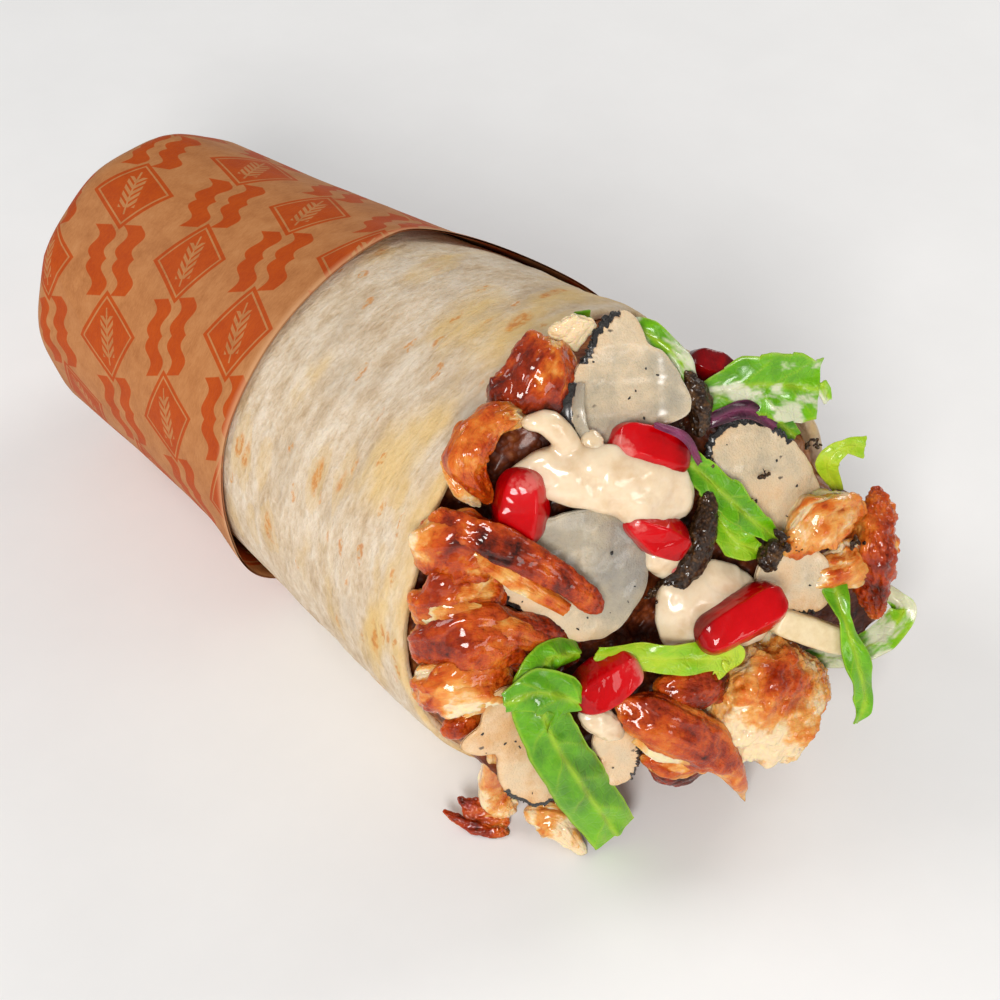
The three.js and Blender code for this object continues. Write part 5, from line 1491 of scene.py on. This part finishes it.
MEAT = {
    "meat_skin": dict(
        path=[(-38, 17, 2.4), (-31.6, 14.4, 6.6), (-22.6, 8.8, 8), (-14.6, 2, 7.2)], wide=[3.4, 4.4, 4.6, 3.4],
        thick=[1.6, 2, 2.2, 1.6], seed=51, tone=[0.54, 0.57, 0.62, 0.58], pebble=(0.8, 0.3), torn=0.34, blunt=6),
    "meat_fold_front": dict(
        path=[(-11.6, -12.6, 5.4), (-4.5, -16.4, 7.2), (3, -21.4, 6.6), (8.2, -26.8, 4.8), (12.8, -34.2, 1)],
        wide=[6.4, 9.4, 8.2, 4.4, 2.2], thick=[3, 4.4, 4, 3, 1.8], seed=53, tone=[0.45, 0.5, 0.42, 0.36, 0.15]),
    "meat_chunk_big": dict(
        path=[(3.8, -17.8, 3), (13.4, -16.6, 4), (24.8, -15.6, 2)], wide=[12, 18.4, 17.4, 12.5],
        thick=[9, 12, 12, 9], crag=0.2, seed=55, tone=[0.16, 0.16, 0.1], top_tone=0.04, pebble=(0.7, 0.6),
        patches=[(0.2, 0.6, -0.4), (0.45, 0.9, -0.3), (0.6, -0.4, 0.34)]),
    "meat_chunk_mid": dict(
        path=[(-5, -12, 4.6), (1.6, -12.2, 5.4), (7, -12, 4.6)], wide=[4.6, 6, 5], thick=[4.6, 5.4, 5], seed=57,
        tone=[0.5, 0.5, 0.65]),
    "meat_curl_right": dict(
        path=[(16.2, 4.8, 3), (20.4, 10.4, 4.6), (28.6, 11.4, 4)], wide=[5, 8.4, 7.2], thick=[5, 6.4, 5.6],
        seed=59, tone=[0.16, 0.16, 0.3], fold=(2.6, 10, 1.9), pebble=(0.8, 0.3)),
    "meat_crisp_right": dict(
        path=[(32.4, 13.8, 2.4), (31.2, 4.8, 4), (33.4, -7, 2)], wide=[4.4, 6.2, 6.6, 4.4], thick=[5, 6.6, 5.6],
        crag=0.26, seed=61, tone=[0.5, 0.45, 0.55], pebble=(1.2, 1.0)),
    "meat_pale_right": dict(
        path=[(19.4, 1.6, 2.4), (26.2, 2.6, 3.4), (31.6, 5.6, 3)], wide=[5, 6.6, 5], thick=[4.6, 5.4, 4.6],
        seed=63, tone=[0.16, 0.22, 0.36], fold=(2.6, 10, 1.6)),
    "meat_gold_front": dict(
        path=[(-6, -23, 3), (0.6, -24.4, 3.8), (6.6, -23.4, 3.4)], wide=[3.6, 5.4, 4.6], thick=[3.4, 4, 3.4],
        seed=65, tone=[0.3, 0.3, 0.35]),
    "meat_dark_under": dict(
        path=[(-3.6, -25.2, 0.4), (1.4, -27.6, -0.6), (7.4, -25.6, 0.4)], wide=[3.4, 5.2, 3.6], thick=[4, 5, 4],
        seed=67, tone=[0.7, 0.75, 0.8]),
    "meat_tail_front": dict(
        path=[(-21, -33, -5.8), (-17, -34, -4.4), (-15, -36.4, -3.6), (-12.2, -40.2, -2.4)],
        wide=[5, 6, 4.4, 2.2], thick=[3.4, 4, 3, 1.8], seed=69, tone=[0.12, 0.0, -0.12, -0.2]),
    "meat_flake_left": dict(
        path=[(-27.4, -18.2, 0.6), (-24, -30, -9.6), (-20.6, -35, -9.6)], wide=[3.4, 5.4, 4.6],
        thick=[2.4, 3, 2.6], seed=71, tone=[0.3, 0.0, 0.1]),
    "meat_ridge_low": dict(
        path=[(-39.4, -9, -1.6), (-34, -7.6, 2.4), (-26.6, -8, 2.4)], wide=[6, 10.4, 8.8], thick=[4, 6.6, 5.4],
        crag=0.16, blunt=6, seed=73, tone=[0.35, 0.2, 0.4], torn=0.46, patches=[(0.6, 0.5, -0.3)]),
    "meat_ridge_main": dict(
        path=[(-39.6, -3.2, -1.4), (-33.4, -0.6, 3), (-25, -2.4, 3.2), (-15.4, -6.4, 1.6)],
        wide=[6, 10.4, 9.6, 6], thick=[4, 6.4, 6, 3.4], crag=0.16, blunt=6, seed=75, tone=[0.5, 0.52, 0.62, 0.9]),
    "meat_ridge_gold": dict(
        path=[(-39.4, 2, -1.4), (-35, 4.2, 2.2), (-27, 4.8, 2)], wide=[5.6, 8.8, 8], thick=[4, 5.6, 4.6],
        crag=0.15, blunt=6, seed=77, tone=[0.4, 0.48, 0.6], patches=[(0.3, 0.2, -0.35)]),
    "meat_chunk_left": dict(
        path=[(-39.4, 11, -1), (-34.4, 12, 2.4), (-27.6, 9.4, 2)], wide=[6, 10, 8.8], thick=[4.6, 6.4, 5.4],
        crag=0.15, blunt=6, seed=79, tone=[0.36, 0.42, 0.5], patches=[(0.15, -0.5, -0.4)]),
    "meat_curl_left": dict(
        path=[(-23.6, 29.6, 2.4), (-29.8, 29.6, 3.8), (-33.4, 24.8, 4.2), (-29.4, 18.2, 2)],
        wide=[4, 5.4, 5.8, 4], thick=[4, 5, 5.2, 3.6], seed=81, tone=[0.3, 0.32, 0.4, 0.6], crag=0.22,
        fold=(4, 9, 1.6), patches=[(0.4, 0.3, -0.2)]),
    "meat_chunk_top": dict(
        path=[(-16.6, 38.4, -0.6), (-21.6, 34.6, 1), (-27, 29, -0.4)], wide=[7, 10.4, 8.6], thick=[5.4, 7.4, 6],
        seed=83, tone=[0.16, 0.5, 0.66, 0.8], patches=[(0.5, 0.2, -0.15)]),
    "meat_pale_top": dict(
        path=[(-19.8, 40.2, 0), (-13.2, 41, 1)], wide=[3, 4.4, 2], thick=[1.4, 1.6, 1.2], seed=85,
        tone=[-0.25], crag=0.3, turn=[25]),
    "meat_fibre": dict(
        path=[(-36.2, 24.4, 2), (-33.8, 20.8, 3.2), (-30.6, 17.4, 2)], wide=[1.4, 2.8, 1.8], thick=[1.4, 2, 1.4],
        seed=87, tone=[0.05], fold=(1.2, 12, 1.2)),
    "meat_crumb_low": dict(
        path=[(-35.2, -16.2, -1.4), (-29.2, -14.6, 0)], wide=[3, 3.8, 3], thick=[3, 3.6, 3], seed=89,
        tone=[0.4]),
}

CRISP_PRONGS = [
    dict(path=[(-28.4, -32.8, -13.8), (-25.1, -35.4, -12.4), (-21.6, -37, -10.4)], wide=[1.8, 3.4, 3],
         thick=[1.6, 2.4, 2.2], seed=91),
    dict(path=[(-30.8, -34.6, -13.6), (-27.2, -36.8, -12.2), (-23.4, -38, -10.4), (-21.8, -37.4, -10.2)],
         wide=[1.6, 2.8, 3], thick=[1.6, 2.2, 2.2], seed=93),
]

# Bits too small to be solids of their own: thin torn flaps of meat, dabs, crumbs of paste.
FLAPS = {
    "flap_skin": dict(path=[(-33.6, 12.2, 5.4), (-27, 8, 7.2), (-19.6, 2.6, 7.2)], wide=[2, 3.6, 2], seed=101,
                      tone=[0.3, 0.2, 0.3]),
    "flap_gold": dict(path=[(-39, 2.4, 1.4), (-36.6, 3.4, 4.2), (-32, 3, 5.6)], wide=[3.6, 5.2, 3], seed=105,
                      tone=[0.2, 0.16, 0.34]),
    "flap_main": dict(path=[(-35, 1.6, 5), (-28, 0, 6.6), (-19.4, -3.8, 5)], wide=[3, 5, 2.4], seed=107,
                      tone=[0.5, 0.42, 0.7]),
    "flap_low": dict(path=[(-39, -9.4, 1), (-34, -9, 5.4), (-29, -9.8, 5.4)], wide=[3, 6, 3], seed=109,
                     tone=[0.35, 0.1, 0.2]),
    "flap_front": dict(path=[(-8.4, -17.6, 6.6), (-4.6, -20, 8), (0.6, -22.6, 7.4)], wide=[3, 4.4, 2.4], seed=113,
                       tone=[0.2, 0.12, 0.3]),
}
LEAF_FOLD = dict(path=[(-17.2, -11.6, 8.2), (-20.6, -9.4, 9), (-25, -8, 9.2), (-29.4, -9.4, 8)],
                 wide=[1.6, 6.4, 7, 3], cup=-0.35, frill=0.5, points=[(0.36, -1, 2.6)], seed=127,
                 tone=[0.45, 0.3, 0.3], blister=2.6, thick=0.4)
STUB = dict(path=[(20, 31.4, 5.4), (20.6, 30, 5.4), (21.4, 28.4, 5.2)], wide=[1.8, 2.2, 1.4], seed=121,
            tone=[0.6], smear=0.6)
CREAM_DAB = dict(path=[(-16.2, 27.6, 5.4), (-15, 23.6, 6.2)], wide=[2.6, 3.2, 2.6], thick=[1.8, 2.2, 1.8], seed=123)
ROSY_BIT = dict(path=[(-3, 8.4, 4.8), (-2.2, 5.4, 5)], wide=[2, 2.8, 1.6], thick=[1.6, 2, 1.4], seed=125, tone=[1.0])
PASTE_CRUMBS = [
    (14.4, 9, 7.4, 3), (16.6, 7.4, 6.4, 1.8), (26.8, 6.6, 5.8, 2.6), (31.8, 4.6, 5.4, 2.4), (11.2, 18.4, 5.8, 2),
    (13, 5.4, 6.6, 1.6), (19.4, 22, 3.6, 2), (16.6, -4.6, 6.4, 2.4), (21.4, 22, 2.8, 1.6), (-2.4, 27.8, 6.4, 2),
    (2.8, 21.2, 5.4, 2.4), (-5.8, 2.2, 5, 2.4), (9.8, 14.6, 5.4, 1.6),
]

CHEESE_STICK = dict(path=[(13.8, -3.4, 5.4), (26.6, -9, 4.8)], wide=[4, 4.4, 4], thick=[3.4, 3.6, 3.4], seed=1,
                    blunt=14, square=0.35, crag=0.03)


def joined(name, pieces):
    """One piece from several, each keeping its finish."""
    with bpy.context.temp_override(active_object=pieces[0], selected_editable_objects=pieces):
        bpy.ops.object.join()
    pieces[0].name = pieces[0].data.name = name
    return pieces[0]


def fused(name, pieces, voxel, rounds):
    """Several lumps melted into one smooth body."""
    whole = joined(name, pieces)
    melt = whole.modifiers.new("melt", "REMESH")
    melt.mode, melt.voxel_size = "VOXEL", voxel * MM
    ease = whole.modifiers.new("ease", "SMOOTH")
    ease.iterations, ease.factor = rounds, 0.6
    mesh = made_plain(whole).data
    at = np.empty(len(mesh.vertices) * 3)
    mesh.vertices.foreach_get("co", at)
    mark_points(mesh, "rest", at.reshape(-1, 3) / MM)
    return whole


def meat_piece(name, spec, finish):
    wide = max(spec["wide"])
    fine = 1.6 if wide > 12 else 1.0
    fold = spec.get("fold", (4.4, 12, 1.6))
    pebble = spec.get("pebble", (1.0, 0.2))
    ease = min(1.0, wide / 8)
    return shaped_by(lump(name, spec, int(84 * fine), int(110 * fine)), torn_relief, finish,
                     Fold_Width=fold[0] * (0.4 + 0.6 * ease), Fold_Length=fold[1], Fold_Depth=fold[2] * ease,
                     Layer_Depth=0.4 * ease, Torn_Share=spec.get("torn", 0.38), Pebble_Size=pebble[0],
                     Pebble_Height=pebble[1], Seed=spec["seed"])


def slices():
    rinds = []
    for node, spec in SLICES.items():
        placed(dressed(slice_piece(node + "_cut", spec), SLICE), "pale_slices", node)
        rinds.append(slice_rind(node + "_rind", spec))
        bed = slice_piece(node + "_flecks", spec, 48, 8)
        rinds.append(shaped_by(bed, scattered_crumbs, RIND, Crumbs=0.035, Crumb_Size=0.5, Seed=spec["seed"]))
    placed(joined("slice_rinds", rinds), "pale_slices")
    placed(dressed(strip("slice_edge_on_cut", EDGE_ON_SLICE, 60, 16), SLICE), "pale_slices", "slice_edge_on")


def sauces():
    whole = fused("sauce_centre_cream", [lump("cream_%d" % k, spec) for k, spec in enumerate(SAUCE_CENTRE)], 0.3, 12)
    pool = sauce_pool("sauce_right_cream", SAUCE_RIGHT)
    for seed, node, piece in ((3, "sauce_centre", whole), (4, "sauce_right", pool),
                              (5, "sauce_front", lump("sauce_front_cream", SAUCE_FRONT))):
        shaped_by(piece, torn_relief, SAUCE, Fold_Width=5, Fold_Length=6.5, Fold_Depth=1, Layer_Depth=0.12,
                  Torn_Share=0, Pebble_Size=3, Pebble_Height=0.05, Seed=seed)
        placed(piece, "cream_sauce", node)


def meats():
    for node, spec in MEAT.items():
        finish, slot = (MEAT_BROWNED, "browned_meat") if node == "meat_skin" else (MEAT_GLAZED, "grilled_meat")
        placed(meat_piece(node + "_flesh", spec, finish), slot, node)
    prongs = [dict(spec, tone=[0.7, 0.55, 0.4], pebble=(0.8, 0.4), crag=0.3) for spec in CRISP_PRONGS]
    prongs = [meat_piece("prong_%d_flesh" % k, spec, MEAT_GLAZED) for k, spec in enumerate(prongs)]
    placed(joined("meat_crisp_front_flesh", prongs), "browned_meat", "meat_crisp_front")
    flaps = [dressed(strip(name, {"blister": 0.8, "cup": -0.6, **spec}, 60, 18), MEAT_GLAZED)
             for name, spec in FLAPS.items()]
    placed(joined("torn_flaps", flaps), "grilled_meat")


def filling():
    packed_filling()
    slices()
    for node, spec in LEAVES.items():
        finish, slot = (LETTUCE, "lettuce") if node.startswith("lettuce") else (CABBAGE, "red_cabbage")
        placed(dressed(strip(node + "_leaf", spec), finish), slot, node)
    for node, spec in SEEDS.items():
        placed(dressed(lump(node + "_aril", {**SEED_SHAPE, **spec}, 90, 80), SEED), "pomegranate", node)
    placed(dressed(lump("cheese_stick_cut", CHEESE_STICK, 96, 60), CHEESE), "cheese", "cheese_stick")
    for node, spec in PASTE.items():
        piece = shaped_by(lump(node + "_grains", spec), torn_relief, PASTE_FINISH, Fold_Width=2, Fold_Length=2.4,
                          Fold_Depth=1, Layer_Depth=0.1, Torn_Share=0, Pebble_Size=0.7, Pebble_Height=0.35,
                          Seed=spec["seed"])
        placed(piece, "dark_paste", node)
    sauces()
    meats()
    placed(dressed(strip("leaf_fold", LEAF_FOLD, 70, 20), LETTUCE), "lettuce")
    placed(dressed(strip("leaf_stub", STUB, 30, 10), LETTUCE), "lettuce")
    placed(dressed(lump("cream_dab", CREAM_DAB, 40, 40), SAUCE), "cream_sauce")
    placed(dressed(lump("rosy_bit", ROSY_BIT, 40, 30), SEED), "pomegranate")
    placed(crumb_piece("paste_crumbs", PASTE_CRUMBS, PASTE_FINISH), "dark_paste")


def crumb_piece(name, spots, finish):
    """Separate crumbs from a list of places on the face and sizes."""
    chance = np.random.default_rng(41)
    spots = np.repeat(np.array(spots), 5, axis=0)
    spots[:, :2] += chance.normal(0, 0.28, (len(spots), 2)) * spots[:, 3:]
    spots[:, 3] *= chance.uniform(0.25, 0.55, len(spots))
    piece = empty_piece(name)
    piece.data.from_pydata(((on_face(*spots[:, :3].T) + ROLL_AT) * MM).tolist(), [], [])
    mark_points(piece.data, "crumb", spots[:, 3])
    return shaped_by(piece, placed_crumbs, finish, Seed=7)


def sauce_pool(name, spec):
    """A domed pool of sauce."""
    def point_of(turn, v, face):
        radius = v * around(spec["reach"], turn)
        angle = 2 * np.pi * turn
        across, up = radius * np.cos(angle), radius * np.sin(angle)
        wave = spec["ripple"] * uneven(spec["seed"], across / 3, up / 3) * v
        dome = spec["dome"] if face > 0 else 0.5 * spec["dome"]
        half = (spec["thick"] / 2) * (1 - dome * v ** 3) * np.sqrt(np.clip(1 - v ** 8, 0, 1))
        centre = spec["centre"]
        point = on_face(centre[0] + across, centre[1] + up, centre[2] + wave + face * half)
        return point, {"rest": point}

    return shell_piece(name, 160, 50, True, point_of)


paper_sleeve()
flatbread()
filling()

# ---------------------------------------------------------------- stage, light and camera

FLOOR_REACH = 3.0
LIT_PLACE = (0.03, 0, 0.03)


def floor_sheet():
    mesh = bpy.data.meshes.new("pale_floor")
    corners = [(-FLOOR_REACH, -FLOOR_REACH, 0), (FLOOR_REACH, -FLOOR_REACH, 0), (FLOOR_REACH, FLOOR_REACH, 0),
               (-FLOOR_REACH, FLOOR_REACH, 0)]
    mesh.from_pydata(corners, [], [(0, 1, 2, 3)])
    made = Finish("pale floor", Roughness=0.7, Specular_IOR_Level=0.2)
    made.set(Base_Color=ramp(use(grain, made.place(), Size=30.0), {0.3: (240, 240, 240), 0.7: (244, 244, 244)}))
    piece = dressed(add_object("pale_floor", mesh), made.material)


def soft_light(name, place, width, power, colour=(1, 1, 1)):
    light = bpy.data.lights.new(name, "AREA")
    light.shape, light.size, light.energy, light.color = "DISK", width, power, colour
    lamp = add_object(name, light)
    lamp.location = place
    lamp.rotation_euler = (Vector(LIT_PLACE) - Vector(place)).to_track_quat("-Z", "Y").to_euler()


floor_sheet()
soft_light("window light", (0.50, -0.62, 0.50), 0.30, 6.3, (1, 0.975, 0.945))
soft_light("back light", (0.05, 0.7, 0.50), 0.35, 2.2, (1, 0.98, 0.95))
soft_light("side light", (-0.55, -0.35, 0.60), 0.35, 2.0)
soft_light("low front light", (0.78, -0.10, 0.20), 0.22, 0.6, (1, 0.98, 0.95))
world = bpy.data.worlds.new("pale room")
world.use_nodes = True
world.node_tree.nodes["Background"].inputs["Color"].default_value = (1, 1, 1, 1)
world.node_tree.nodes["Background"].inputs["Strength"].default_value = 0.28
bpy.context.scene.world = world
bpy.context.scene.view_settings.view_transform = "Standard"

lens = bpy.data.cameras.new("camera")
lens.lens, lens.sensor_width = 68.4, 36
camera = add_object("camera", lens)
target = Vector((VIEW_TARGET + ROLL_AT) * MM)
camera.location = target + Vector(viewer) * VIEW_DISTANCE * MM
camera.rotation_euler = Vector(viewer).to_track_quat("Z", "Y").to_euler()
lens.clip_start, lens.clip_end = 0.01, 10
bpy.context.scene.camera = camera
